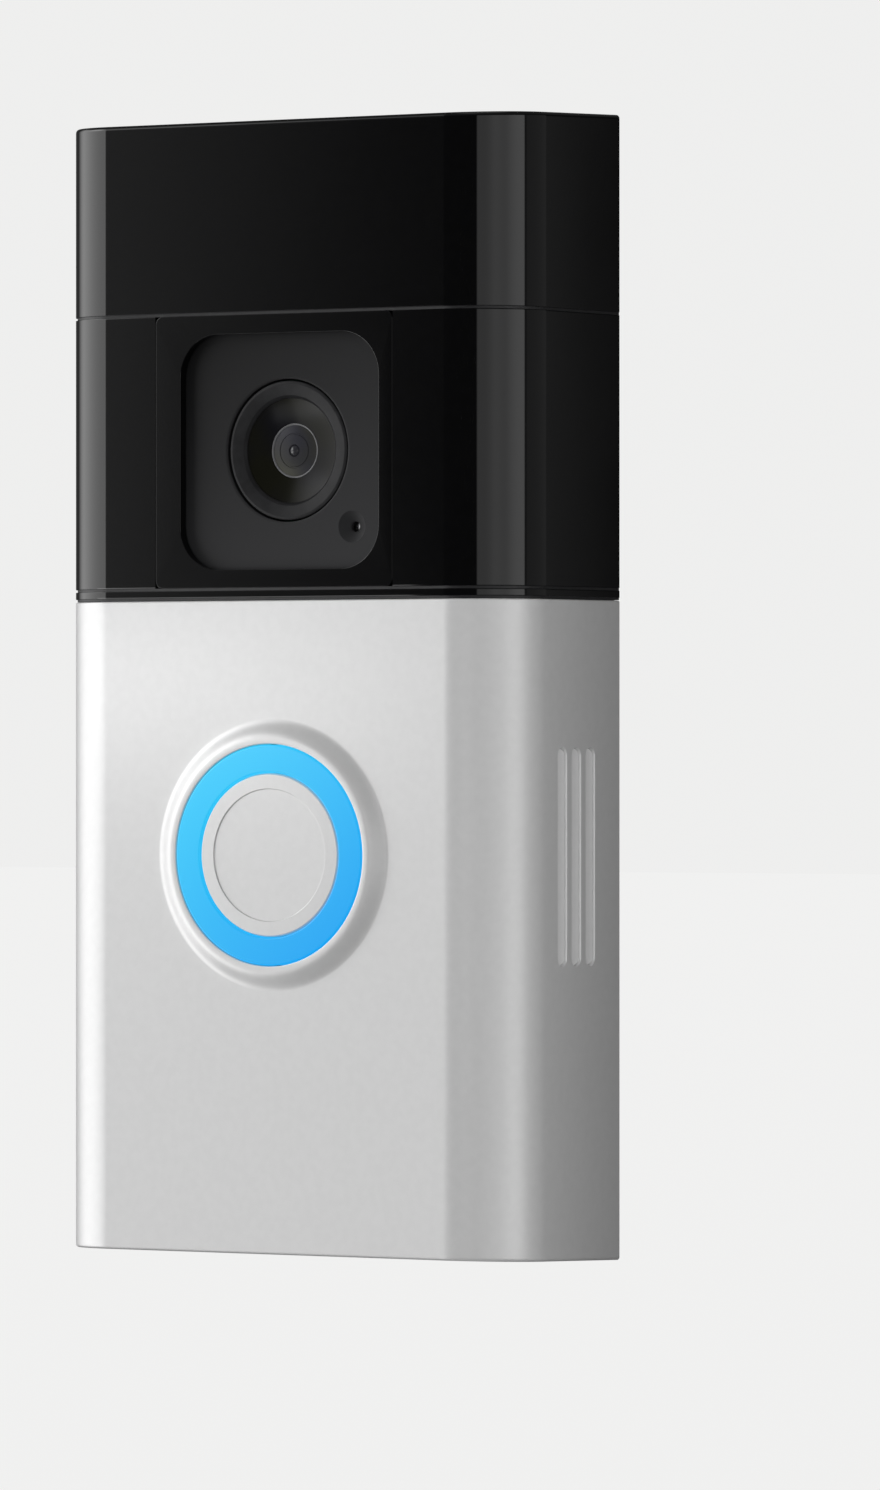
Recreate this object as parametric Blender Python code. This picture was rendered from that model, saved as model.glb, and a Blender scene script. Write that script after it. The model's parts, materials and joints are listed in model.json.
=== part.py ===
"""A battery video doorbell as an assembly of separate pieces.

The doorbell stands upright. X runs to the right as a visitor sees it, Y runs back into the
wall and Z runs up. The wall is the plane y = 0, and z = 0 is half way up the shell.
Every length below is in millimetres, and mesh_object() turns it into metres.
"""

import math

import bmesh
import bpy
from mathutils import Vector

MM = 0.001

# ---- driving dimensions, in millimetres --------------------------------------------------------

FRONT_Y = -28.0                 # front face of the shell, seen from the wall
SHELL_BACK_Y = -4.3             # rear rim of the shell
HALF_WIDTH_FRONT = 30.47        # half width where the rounded corner meets the side
HALF_WIDTH_BACK = 30.94         # half width at the rear rim
HALF_HEIGHT_FRONT = 63.2        # half height at the front face
HALF_HEIGHT_BACK = 64.0         # half height at the rear rim
CORNER_ACROSS = 8.1             # reach of the rounded vertical corner along X
CORNER_DEEP = 8.5               # reach of the same corner along Y
CORNER_STEPS = 7
ROUND_STEPS = 48                # facets round the button and its ring

GAP = 0.3                       # clearance between pieces that meet
SHELL_WALL = 1.8                # black upper shells
PLATE_WALL = 1.6                # silver faceplate
COVER_WALL = 1.4                # inner cover behind the faceplate

PLATE_TOP_Z = 9.7               # top edge of the faceplate
TRIM_Z = (10.0, 10.8)           # thin band above the faceplate
HOUSING_Z = (11.1, 41.6)        # camera housing between the band and the upper seam
CAP_LOW_Z = 41.9                # lower edge of the upper cap

PANEL_HALF_WIDTH = 15.7         # rectangular insert that frames the camera window
PANEL_BACK_Y = -27.0
WINDOW_FRONT_Y = -26.7          # floor of the rounded square opening
WINDOW_BACK_Y = -25.5
WINDOW_X = 0.75                 # centre of the opening
WINDOW_Z = 26.3
OPENING_HALF = 13.15            # half side of the opening
OPENING_RADIUS = 4.9
WINDOW_HALF = 14.0              # half side of the window plate behind it
LENS = (1.05, 26.4)             # (x, z) of the lens axis
DIMPLE = (9.6, 17.8)            # (x, z) of the microphone dimple in the window

BUTTON_Z = -18.7                # height of the button's axis
BOSS_BASE_R = 15.2              # raised boss around the light ring
BOSS_TOP_R = 12.9
BOSS_FRONT_Y = -29.0
PLATE_HOLE_R = 12.45
RING_OUTER_R = 12.15            # light ring
RING_INNER_R = 9.2
CAP_R = 8.9                     # button cap
CAP_FRONT_Y = -28.85
CAP_DISH_R = 7.25               # shallow disc in the middle of the cap
CAP_DISH_DEPTH = 0.3
RING_LAMPS = 6                  # lamps behind the light ring
RING_LAMP_R = 10.7              # distance of each lamp from the button's axis

SLOT_COUNT = 3                  # speaker slots in the faceplate's right side
SLOT_WIDTH = 1.85
SLOT_PITCH = 2.85
SLOT_FIRST_Y = -16.3
SLOT_Z = (-30.9, -6.8)

BRACKET_HALF_WIDTH = 27.5       # wall bracket
BRACKET_HALF_HEIGHT = 59.0
BRACKET_FRONT_Y = -3.4
PASSAGE_HALF_WIDTH = 15.0       # wire passage through the bracket
PASSAGE_Z = (7.5, 26.5)
WALL_HOLE_X = 20.0
WALL_HOLE_Z = 52.0
WALL_HOLE_R = 2.2
HOOKS = ((-24.5, 38.0), (24.5, 38.0), (-24.8, -46.0), (24.8, -46.0))   # (x, z) of each hook's foot
HOOK_WIDTH = 3.8
HOOK_STEM = 3.0
HOOK_FINGER = 4.0
HOOK_TRAVEL = 6.0               # how far the unit lifts to come off the hooks

BACKPLATE_Y = (-6.5, -4.6)      # chassis back plate
BACKPLATE_HALF_WIDTH = 28.7
BACKPLATE_HALF_HEIGHT = 61.4
BAY_WALL = 1.1                  # walls of the battery bay
BAY_HALF_WIDTH = 20.5           # inside of the bay
BAY_FRONT_Y = -20.6
BAY_TOP_Z = 5.2
BAY_LOW_Z = -60.4

BATTERY_HALF_WIDTH = 20.2
BATTERY_Y = (-20.3, -6.8)
BATTERY_TOP_Z = 3.6
BATTERY_SPLIT_Z = -57.8         # where the case ends and the end cap begins
BATTERY_LOW_Z = -63.6
BATTERY_WALL = 1.1

SCREW_Y = -23.6                 # security screw's axis
BOARD_Y = (-14.2, -13.0)        # main board
SETUP_PLACE = (14.0, -44.0)     # (x, z) of the setup button
SNAP_POSTS = ((-19.5, 5.0), (19.5, 5.0), (-19.5, -50.0), (19.5, -50.0))   # (x, z) of the faceplate's posts
HOUSING_SCREWS = (              # name, x and z of the screws that hold the shells to the chassis
    ("top_left", -25.0, 55.5),
    ("top_right", 25.0, 55.5),
    ("mid_left", -24.2, 2.0),
    ("mid_right", 24.2, 2.0),
)

LATCH_X = (-6.0, 6.0)           # battery latch, in the end cap
LATCH_Y = (-16.0, -11.0)
SOCKET_X = (9.0, 18.2)          # charging socket, in the end cap
SOCKET_Y = (-15.1, -11.7)
SOCKET_WALL = 0.45

SPEAKER_X = (21.95, 26.4)       # speaker beside the battery bay, facing the side slots
SPEAKER_Y = (-18.2, -8.8)
SPEAKER_Z = (-31.5, -6.2)
SPEAKER_RIM = 0.9

# name: (red, green, blue, roughness, metallic)
FINISHES = {
    "gloss_black": (0.010, 0.010, 0.011, 0.12, 0.0),
    "satin_black": (0.030, 0.030, 0.033, 0.42, 0.0),
    "window_grey": (0.028, 0.028, 0.031, 0.35, 0.0),
    "silver_paint": (0.66, 0.66, 0.66, 0.38, 0.35),
    "light_ring": (0.10, 0.55, 0.95, 0.35, 0.0),
    "chassis_black": (0.022, 0.022, 0.024, 0.55, 0.0),
    "bracket_black": (0.030, 0.030, 0.032, 0.60, 0.0),
    "lens_glass": (0.015, 0.016, 0.022, 0.03, 0.0),
    "lens_metal": (0.040, 0.040, 0.044, 0.30, 0.6),
    "board_green": (0.015, 0.110, 0.050, 0.45, 0.0),
    "chip_black": (0.018, 0.018, 0.018, 0.50, 0.0),
    "shield_steel": (0.60, 0.61, 0.62, 0.30, 1.0),
    "contact_gold": (0.80, 0.58, 0.24, 0.25, 1.0),
    "screw_steel": (0.56, 0.56, 0.57, 0.28, 1.0),
    "dome_silicone": (0.72, 0.72, 0.70, 0.60, 0.0),
    "lamp_white": (0.85, 0.85, 0.80, 0.35, 0.0),
    "speaker_cone": (0.035, 0.035, 0.036, 0.70, 0.0),
    "speaker_mesh": (0.40, 0.40, 0.40, 0.65, 0.0),
    "battery_case": (0.050, 0.050, 0.053, 0.50, 0.0),
    "cell_wrap": (0.10, 0.26, 0.42, 0.40, 0.0),
    "setup_orange": (0.85, 0.24, 0.03, 0.45, 0.0),
    "flex_amber": (0.42, 0.18, 0.03, 0.35, 0.0),
}


# ---- shared builders ---------------------------------------------------------------------------

def clear_scene():
    for item in list(bpy.data.objects):
        bpy.data.objects.remove(item, do_unlink=True)


def finish_material(name):
    material = bpy.data.materials.get(name)
    if material is not None:
        return material
    red, green, blue, roughness, metallic = FINISHES[name]
    material = bpy.data.materials.new(name)
    material.use_nodes = True
    shader = material.node_tree.nodes["Principled BSDF"]
    shader.inputs["Base Color"].default_value = (red, green, blue, 1.0)
    shader.inputs["Roughness"].default_value = roughness
    shader.inputs["Metallic"].default_value = metallic
    material.diffuse_color = (red, green, blue, 1.0)
    return material


def body_frame(name, origin=(0.0, 0.0, 0.0), parent=None):
    """An empty on a moving body's joint axis. The body's pieces are parented to it."""
    frame = bpy.data.objects.new(name, None)
    bpy.context.scene.collection.objects.link(frame)
    place = Vector(origin) * MM
    if parent is not None:
        frame.parent = parent
        place -= Vector(parent["world_place"])
    frame["world_place"] = list(Vector(origin) * MM)
    frame.location = place
    return frame


def mesh_object(name, bm, finish, frame=None):
    """Links the millimetre mesh bm as a piece in metres, with its origin on its body's frame."""
    bmesh.ops.recalc_face_normals(bm, faces=bm.faces)
    origin = Vector(frame["world_place"]) if frame is not None else Vector((0.0, 0.0, 0.0))
    for vert in bm.verts:
        vert.co = vert.co * MM - origin
    mesh = bpy.data.meshes.new(name)
    bm.to_mesh(mesh)
    bm.free()
    mesh.shade_smooth()
    mesh.set_sharp_from_angle(angle=math.radians(32.0))
    piece = bpy.data.objects.new(name, mesh)
    bpy.context.scene.collection.objects.link(piece)
    if finish is not None:
        mesh.materials.append(finish_material(finish))
    if frame is not None:
        piece.parent = frame
    return piece


def box(name, x, y, z, finish=None, frame=None):
    """A block between two values on each axis."""
    bm = bmesh.new()
    bmesh.ops.create_cube(bm, size=1.0)
    for vert in bm.verts:
        vert.co.x = x[1] if vert.co.x > 0 else x[0]
        vert.co.y = y[1] if vert.co.y > 0 else y[0]
        vert.co.z = z[1] if vert.co.z > 0 else z[0]
    return mesh_object(name, bm, finish, frame)


def extruded_outline(name, outline, y, finish=None, frame=None):
    """A plate whose outline is a list of (x, z) points, extruded between two y values."""
    bm = bmesh.new()
    front = [bm.verts.new((px, y[0], pz)) for px, pz in outline]
    back = [bm.verts.new((px, y[1], pz)) for px, pz in outline]
    bm.faces.new(front)
    bm.faces.new(back)
    for i in range(len(outline)):
        j = (i + 1) % len(outline)
        bm.faces.new((front[i], front[j], back[j], back[i]))
    return mesh_object(name, bm, finish, frame)


def rounded_rectangle(half_x, half_z, radius, centre_z=0.0, centre_x=0.0, steps=6):
    """Points (x, z) round a rectangle with rounded corners."""
    points = []
    corners = ((1, 1, 0.0), (-1, 1, 90.0), (-1, -1, 180.0), (1, -1, 270.0))
    for sign_x, sign_z, start in corners:
        for i in range(steps + 1):
            angle = math.radians(start + 90.0 * i / steps)
            px = centre_x + sign_x * (half_x - radius) + radius * math.cos(angle)
            pz = centre_z + sign_z * (half_z - radius) + radius * math.sin(angle)
            points.append((px, pz))
    return points


def turned(name, profile, centre, axis="Y", segments=40, closed=False, finish=None, frame=None):
    """A turned piece. The profile is a list of (radius, place along the axis).

    An open profile starts and ends on the axis, and a closed one goes round a ring's section.
    centre holds the two coordinates across the axis, in X, Y, Z order.
    """
    bm = bmesh.new()
    rings = []
    for radius, along in profile:
        count = segments if radius > 0 else 1
        ring = []
        for i in range(count):
            angle = 2.0 * math.pi * i / segments
            a = centre[0] + radius * math.cos(angle)
            b = centre[1] + radius * math.sin(angle)
            place = {"X": (along, a, b), "Y": (a, along, b), "Z": (a, b, along)}[axis]
            ring.append(bm.verts.new(place))
        rings.append(ring)
    pairs = list(zip(rings, rings[1:]))
    if closed:
        pairs.append((rings[-1], rings[0]))
    for first, second in pairs:
        for i in range(segments):
            j = (i + 1) % segments
            if len(first) == 1:
                bm.faces.new((first[0], second[i], second[j]))
            elif len(second) == 1:
                bm.faces.new((first[i], first[j], second[0]))
            else:
                bm.faces.new((first[i], first[j], second[j], second[i]))
    return mesh_object(name, bm, finish, frame)


def pin(name, radius, span, centre, axis="Y", segments=24, finish=None, frame=None):
    """A plain round bar between two places along its axis."""
    profile = [(0, span[0]), (radius, span[0]), (radius, span[1]), (0, span[1])]
    return turned(name, profile, centre, axis, segments, False, finish, frame)


def guide(tool):
    """A cutter or an added shape: it isn't a piece, and it isn't rendered."""
    tool.hide_render = True
    tool.display_type = "WIRE"
    return tool


def boolean(piece, tool, operation):
    modifier = piece.modifiers.new(tool.name, "BOOLEAN")
    modifier.operation = operation
    modifier.solver = "EXACT"
    modifier.object = guide(tool)


def cut(piece, *tools):
    for tool in tools:
        boolean(piece, tool, "DIFFERENCE")


def add(piece, *tools):
    for tool in tools:
        boolean(piece, tool, "UNION")


# ---- the shell's outer form --------------------------------------------------------------------

def level(z):
    return lambda y: z


def outer_top(inset):
    rise = (HALF_HEIGHT_BACK - HALF_HEIGHT_FRONT) / (SHELL_BACK_Y - FRONT_Y)
    return lambda y: HALF_HEIGHT_FRONT + rise * (y - FRONT_Y) - inset


def outer_bottom(inset):
    top = outer_top(inset)
    return lambda y: -top(y)


def plan_outline(inset, back_y):
    """Points (x, y) from the left rear edge, round the front, to the right rear edge."""
    centre_x = HALF_WIDTH_FRONT - CORNER_ACROSS
    centre_y = FRONT_Y + CORNER_DEEP
    spread = (HALF_WIDTH_BACK - HALF_WIDTH_FRONT) / (SHELL_BACK_Y - centre_y)
    rear = HALF_WIDTH_FRONT + spread * (back_y - centre_y) - inset
    right = []
    for i in range(CORNER_STEPS + 1):
        angle = 0.5 * math.pi * i / CORNER_STEPS
        px = centre_x + (CORNER_ACROSS - inset) * math.sin(angle)
        py = centre_y - (CORNER_DEEP - inset) * math.cos(angle)
        right.append((px, py))
    right.append((rear, back_y))
    left = [(-px, py) for px, py in reversed(right)]
    return left + right


def loaf(name, inset, back_y, low, high, finish=None, frame=None):
    """The shell's plan outline, set in by inset, extruded from low(y) up to high(y)."""
    outline = plan_outline(inset, back_y)
    bm = bmesh.new()
    lower = [bm.verts.new((px, py, low(py))) for px, py in outline]
    upper = [bm.verts.new((px, py, high(py))) for px, py in outline]
    bm.faces.new(lower)
    bm.faces.new(upper)
    for i in range(len(outline)):
        j = (i + 1) % len(outline)
        bm.faces.new((lower[i], lower[j], upper[j], upper[i]))
    return mesh_object(name, bm, finish, frame)


# ---- wall bracket ------------------------------------------------------------------------------

def build_bracket():
    outline = rounded_rectangle(BRACKET_HALF_WIDTH, BRACKET_HALF_HEIGHT, 6.0)
    bracket = extruded_outline("wall_bracket", outline, (BRACKET_FRONT_Y, 0.0), "bracket_black")
    through = (BRACKET_FRONT_Y - 1.0, 1.0)
    passage_mid = 0.5 * (PASSAGE_Z[0] + PASSAGE_Z[1])
    passage_half = 0.5 * (PASSAGE_Z[1] - PASSAGE_Z[0])
    passage = rounded_rectangle(PASSAGE_HALF_WIDTH, passage_half, 3.0, passage_mid)
    cut(bracket, extruded_outline("cut_wire_passage", passage, through))
    sink_r = 4.2
    sink_floor_y = -1.4
    for sign_x in (-1, 1):
        for sign_z in (-1, 1):
            centre = (sign_x * WALL_HOLE_X, sign_z * WALL_HOLE_Z)
            profile = [
                (0, through[0]),
                (sink_r, through[0]),
                (sink_r, BRACKET_FRONT_Y),
                (WALL_HOLE_R, sink_floor_y),
                (WALL_HOLE_R, through[1]),
                (0, through[1]),
            ]
            tag = f"{'right' if sign_x > 0 else 'left'}_{'high' if sign_z > 0 else 'low'}"
            cut(bracket, turned(f"cut_wall_hole_{tag}", profile, centre, "Y", 18))
    # shallow pockets lighten the lower half of the plate
    for number, x in enumerate(((-14.0, -1.5), (1.5, 14.0))):
        pocket = box(f"cut_bracket_pocket_{number}", x, (-5.0, -1.8), (-40.0, -4.0))
        cut(bracket, pocket)
    finger_y = (BACKPLATE_Y[0] - 2.0, BACKPLATE_Y[0] - GAP)
    for number, (x, z) in enumerate(HOOKS, 1):
        span = (x - 0.5 * HOOK_WIDTH, x + 0.5 * HOOK_WIDTH)
        stem = box(f"add_hook_stem_{number}", span, (finger_y[0], -1.5), (z, z + HOOK_STEM))
        finger_z = (z + 1.0, z + HOOK_STEM + HOOK_FINGER)
        finger = box(f"add_hook_finger_{number}", (span[0] + 0.001, span[1] - 0.001), finger_y, finger_z)
        add(bracket, stem, finger)


# ---- chassis -----------------------------------------------------------------------------------

def build_chassis(unit):
    plate_x = (-BACKPLATE_HALF_WIDTH, BACKPLATE_HALF_WIDTH)
    plate_z = (-BACKPLATE_HALF_HEIGHT, BACKPLATE_HALF_HEIGHT)
    chassis = box("chassis", plate_x, BACKPLATE_Y, plate_z, "chassis_black", unit)
    inside_y = BACKPLATE_Y[0]
    tongue = box("add_chassis_tongue", (-20.2, 20.2), (inside_y + 0.2, -4.7), (-63.4, -60.0))
    bay_outer = BAY_HALF_WIDTH + BAY_WALL
    bay = box(
        "add_battery_bay",
        (-bay_outer, bay_outer),
        (BAY_FRONT_Y - BAY_WALL, inside_y + 0.4),
        (BAY_LOW_Z, BAY_TOP_Z + BAY_WALL),
    )
    pocket = box("add_terminal_pocket", (-15.2, 15.2), (-10.6, inside_y + 0.5), (7.4, 26.2))
    screw_boss = box("add_screw_boss", (-3.6, 3.6), (-26.0, BAY_FRONT_Y - 0.5), (-58.5, -50.0))
    add(chassis, tongue, bay, pocket, screw_boss)
    bay_space = box(
        "cut_bay_space",
        (-BAY_HALF_WIDTH, BAY_HALF_WIDTH),
        (BAY_FRONT_Y, inside_y),
        (-70.0, BAY_TOP_Z),
    )
    terminal_space = box("cut_terminal_space", (-14.0, 14.0), (-9.4, -2.0), (8.6, 25.0))
    screw_bore = pin("cut_screw_bore", 1.5, (-60.0, -51.0), (0.0, SCREW_Y), "Z")
    cut(chassis, bay_space, terminal_space, screw_bore)
    for number, (x, z) in enumerate(HOOKS, 1):
        half = 0.5 * HOOK_WIDTH + 0.4
        slot_z = (z - HOOK_TRAVEL - 0.5, z + HOOK_STEM + GAP)
        cut(chassis, box(f"cut_hook_slot_{number}", (x - half, x + half), (-8.0, -2.0), slot_z))
    profile = [(0, -8.0), (1.3, -8.0), (1.3, -5.9), (2.5, -5.9), (2.5, -2.0), (0, -2.0)]
    for tag, x, z in HOUSING_SCREWS:
        cut(chassis, turned(f"cut_housing_screw_{tag}", profile, (x, z), "Y", 14))


def build_housing_screws(unit):
    """Flat-headed screws that go in from the back, through the chassis, into the shells."""
    head_r = 2.1
    shank_r = 0.9
    profile = [(0, -13.1), (shank_r, -12.5), (shank_r, -5.6), (head_r, -5.6), (head_r, -4.8), (0, -4.8)]
    for tag, x, z in HOUSING_SCREWS:
        screw = turned(f"housing_screw_{tag}", profile, (x, z), "Y", 14, False, "screw_steel", unit)
        cut(screw, box(f"cut_screw_slot_{tag}", (x - 1.4, x + 1.4), (-5.2, -4.0), (z - 0.3, z + 0.3)))


def screw_bosses(piece, tags, start_y):
    """Adds the hollow posts that the housing screws go into."""
    for tag, x, z in HOUSING_SCREWS:
        if tag in tags:
            add(piece, pin(f"add_post_{tag}", 2.4, (start_y, -7.2), (x, z), "Y", 14))
            cut(piece, pin(f"cut_post_{tag}", 1.2, (-13.8, -6.0), (x, z), "Y", 12))


# ---- black upper shells ------------------------------------------------------------------------

def build_upper_shells(unit):
    cap = loaf("upper_cap", 0.0, SHELL_BACK_Y, level(CAP_LOW_Z), outer_top(0.0), "gloss_black", unit)
    hollow_back = SHELL_BACK_Y + 2.0
    hollow_low = level(CAP_LOW_Z - 2.0)
    cut(cap, loaf("cut_cap_hollow", SHELL_WALL, hollow_back, hollow_low, outer_top(SHELL_WALL)))
    screw_bosses(cap, ("top_left", "top_right"), -25.0)

    low, high = HOUSING_Z
    housing = loaf("camera_housing", 0.0, SHELL_BACK_Y, level(low), level(high), "gloss_black", unit)
    through_z = (low - 2.0, high + 2.0)
    hollow_low, hollow_high = level(through_z[0]), level(through_z[1])
    housing_hollow = loaf("cut_housing_hollow", SHELL_WALL, hollow_back, hollow_low, hollow_high)
    seat_half = PANEL_HALF_WIDTH + GAP
    seat = box("cut_panel_seat", (-seat_half, seat_half), (-30.0, WINDOW_FRONT_Y), through_z)
    hole_half = WINDOW_HALF + GAP
    window_hole = rounded_rectangle(hole_half, hole_half, OPENING_RADIUS, WINDOW_Z, WINDOW_X)
    window_space = extruded_outline("cut_window_hole", window_hole, (-30.0, -24.0))
    cut(housing, housing_hollow, seat, window_space)

    trim_low, trim_high = TRIM_Z
    trim = loaf("seam_trim", 0.0, SHELL_BACK_Y, level(trim_low), level(trim_high), "satin_black", unit)
    cut(trim, loaf("cut_trim_hollow", SHELL_WALL, hollow_back, level(trim_low - 2.0), level(trim_high + 2.0)))


def build_camera_panel(unit):
    """The gloss insert, and the satin window plate seen through its rounded square opening."""
    low, high = HOUSING_Z
    panel_mid = 0.5 * (low + high)
    panel_half = 0.5 * (high - low)
    outline = rounded_rectangle(PANEL_HALF_WIDTH, panel_half, 0.6, panel_mid, 0.0, 3)
    panel = extruded_outline("camera_panel", outline, (FRONT_Y, PANEL_BACK_Y), "gloss_black", unit)
    opening = rounded_rectangle(OPENING_HALF, OPENING_HALF, OPENING_RADIUS, WINDOW_Z, WINDOW_X)
    cut(panel, extruded_outline("cut_panel_opening", opening, (-30.0, -25.0)))

    plate = rounded_rectangle(WINDOW_HALF, WINDOW_HALF, OPENING_RADIUS, WINDOW_Z, WINDOW_X)
    window_y = (WINDOW_FRONT_Y, WINDOW_BACK_Y)
    window = extruded_outline("camera_window", plate, window_y, "window_grey", unit)
    lens_hole = pin("cut_lens_hole", 7.95, (-30.0, -24.0), LENS, "Y", 36)
    dimple_profile = [(0, -27.2), (2.4, -27.2), (0.6, -26.0), (0.4, -25.0), (0, -25.0)]
    dimple = turned("cut_dimple", dimple_profile, DIMPLE, "Y", 24)
    cut(window, lens_hole, dimple)


# ---- camera ------------------------------------------------------------------------------------

def build_camera(unit):
    axis = LENS
    bezel = [(7.25, -26.2), (7.0, -26.5), (6.3, -26.5), (6.05, -26.2), (6.05, -23.9), (7.25, -23.9)]
    turned("lens_bezel", bezel, axis, "Y", 36, True, "lens_metal", unit)
    dome_r = 5.7
    dome_rise = 1.3
    dome_rim_y = -25.0
    dome = [(0, dome_rim_y - dome_rise)]
    for i in range(1, 7):
        angle = 0.5 * math.pi * i / 6
        dome.append((dome_r * math.sin(angle), dome_rim_y - dome_rise * math.cos(angle)))
    dome += [(dome_r, -24.0), (0, -24.0)]
    turned("front_lens", dome, axis, "Y", 32, False, "lens_glass", unit)
    barrel = [
        (6.6, -23.6),
        (6.6, -18.5),
        (4.2, -18.5),
        (4.2, -19.8),
        (3.3, -19.8),
        (3.3, -22.8),
        (4.8, -23.6),
    ]
    turned("lens_barrel", barrel, axis, "Y", 28, True, "lens_metal", unit)
    turned(
        "inner_lens",
        [(0, -22.6), (2.0, -22.3), (3.0, -21.8), (3.0, -21.0), (0, -21.0)],
        axis, "Y", 28, False, "lens_glass", unit,
    )
    turned(
        "aperture_stop",
        [(3.0, -20.6), (3.0, -20.2), (0.7, -20.2), (0.7, -20.6)],
        axis, "Y", 28, True, "chip_black", unit,
    )
    sensor_x = (LENS[0] - 2.4, LENS[0] + 2.4)
    sensor_z = (LENS[1] - 2.4, LENS[1] + 2.4)
    box("image_sensor", sensor_x, (-19.3, -18.5), sensor_z, "chip_black", unit)
    box("camera_board", (-13.0, 13.0), (-18.2, -17.2), (13.4, 38.8), "board_green", unit)
    for number, x in enumerate((LENS[0] - 9.4, LENS[0] + 9.4), 1):
        lamp = [(0, -24.9), (1.0, -24.5), (1.5, -23.6), (1.5, -19.6), (1.9, -19.6), (1.9, -18.5), (0, -18.5)]
        turned(f"infrared_lamp_{number}", lamp, (x, 35.0), "Y", 20, False, "lens_glass", unit)
    box("light_sensor", (-10.6, -8.4), (-19.4, -18.5), (16.9, 19.1), "lamp_white", unit)
    microphone_x = (DIMPLE[0] - 1.8, DIMPLE[0] + 1.8)
    microphone_z = (DIMPLE[1] - 1.4, DIMPLE[1] + 1.4)
    box("microphone", microphone_x, (-25.2, -24.1), microphone_z, "shield_steel", unit)
    box("camera_flex", (-4.0, 4.0), (-18.0, -14.5), (39.1, 39.4), "flex_amber", unit)


def build_boards(unit):
    main = box("main_board", (-21.8, 21.8), BOARD_Y, (12.2, 60.6), "board_green", unit)
    notch = box("cut_board_notch", (-4.6, 4.6), (-15.0, -12.0), (38.0, 39.9))
    cut(main, notch)
    back = (BOARD_Y[1] + GAP, BOARD_Y[1] + 2.2)
    box("processor_shield", (-14.0, 3.0), back, (31.0, 50.0), "shield_steel", unit)
    box("wireless_module", (7.0, 19.0), back, (36.0, 50.0), "shield_steel", unit)
    sensor = [
        (0, -25.6),
        (3.4, -25.6),
        (4.1, -25.0),
        (4.1, -20.0),
        (4.9, -20.0),
        (4.9, -19.0),
        (3.0, -19.0),
        (3.0, -14.5),
        (0, -14.5),
    ]
    turned("motion_sensor", sensor, (0.0, 52.0), "Y", 28, False, "shield_steel", unit)


def build_terminals(unit):
    """The chime or transformer wiring terminals, in their pocket at the back."""
    block = box("terminal_block", (-10.5, 10.5), (-9.1, -6.8), (17.0, 24.6), "chip_black", unit)
    for number, x in enumerate((-5.5, 5.5), 1):
        centre = (x, 20.8)
        cut(block, pin(f"cut_terminal_{number}", 1.3, (-8.8, -6.0), centre, "Y", 16))
        profile = [(0, -8.5), (1.0, -8.5), (1.0, -6.5), (2.4, -6.5), (2.4, -5.3), (2.0, -4.9), (0, -4.9)]
        screw = turned(f"terminal_screw_{number}", profile, centre, "Y", 16, False, "screw_steel", unit)
        slot = box(f"cut_terminal_slot_{number}", (x - 2.0, x + 2.0), (-5.5, -4.0), (20.4, 21.2))
        cut(screw, slot)


# ---- lower front: inner cover, button, speaker --------------------------------------------------

def build_front_cover(unit):
    """The inner cover that closes the electronics behind the faceplate."""
    inset = PLATE_WALL + GAP
    cover_z = (-56.9, 9.4)
    back_y = BACKPLATE_Y[0] - GAP
    cover = loaf("front_cover", inset, back_y, level(cover_z[0]), level(cover_z[1]), "satin_black", unit)
    hollow = loaf(
        "cut_cover_hollow", inset + COVER_WALL, back_y + 2.0, level(cover_z[0] + COVER_WALL), level(12.0)
    )
    bay_outer = BAY_HALF_WIDTH + BAY_WALL + GAP
    bay_notch = box("cut_cover_bay", (-bay_outer, bay_outer), (-22.0, -4.0), (-60.0, -50.0))
    boss_notch = box("cut_cover_boss", (-3.95, 3.95), (-28.0, -21.0), (-60.0, -49.6))
    ring_hole = pin("cut_cover_ring", 13.6, (-28.0, -20.0), (0.0, BUTTON_Z), "Y", 36)
    setup_hole = pin("cut_cover_setup", 2.0, (-28.0, -23.0), SETUP_PLACE, "Y", 20)
    mesh_window = box("cut_cover_speaker", (25.0, 32.0), (-18.6, -8.4), (-32.4, -5.3))
    cut(cover, hollow, bay_notch, boss_notch, ring_hole, setup_hole, mesh_window)
    for number, (x, z) in enumerate(SNAP_POSTS, 1):
        cut(cover, pin(f"cut_cover_post_{number}", 1.9, (-28.0, -23.0), (x, z), "Y", 12))
    screw_bosses(cover, ("mid_left", "mid_right"), -24.0)


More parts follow.
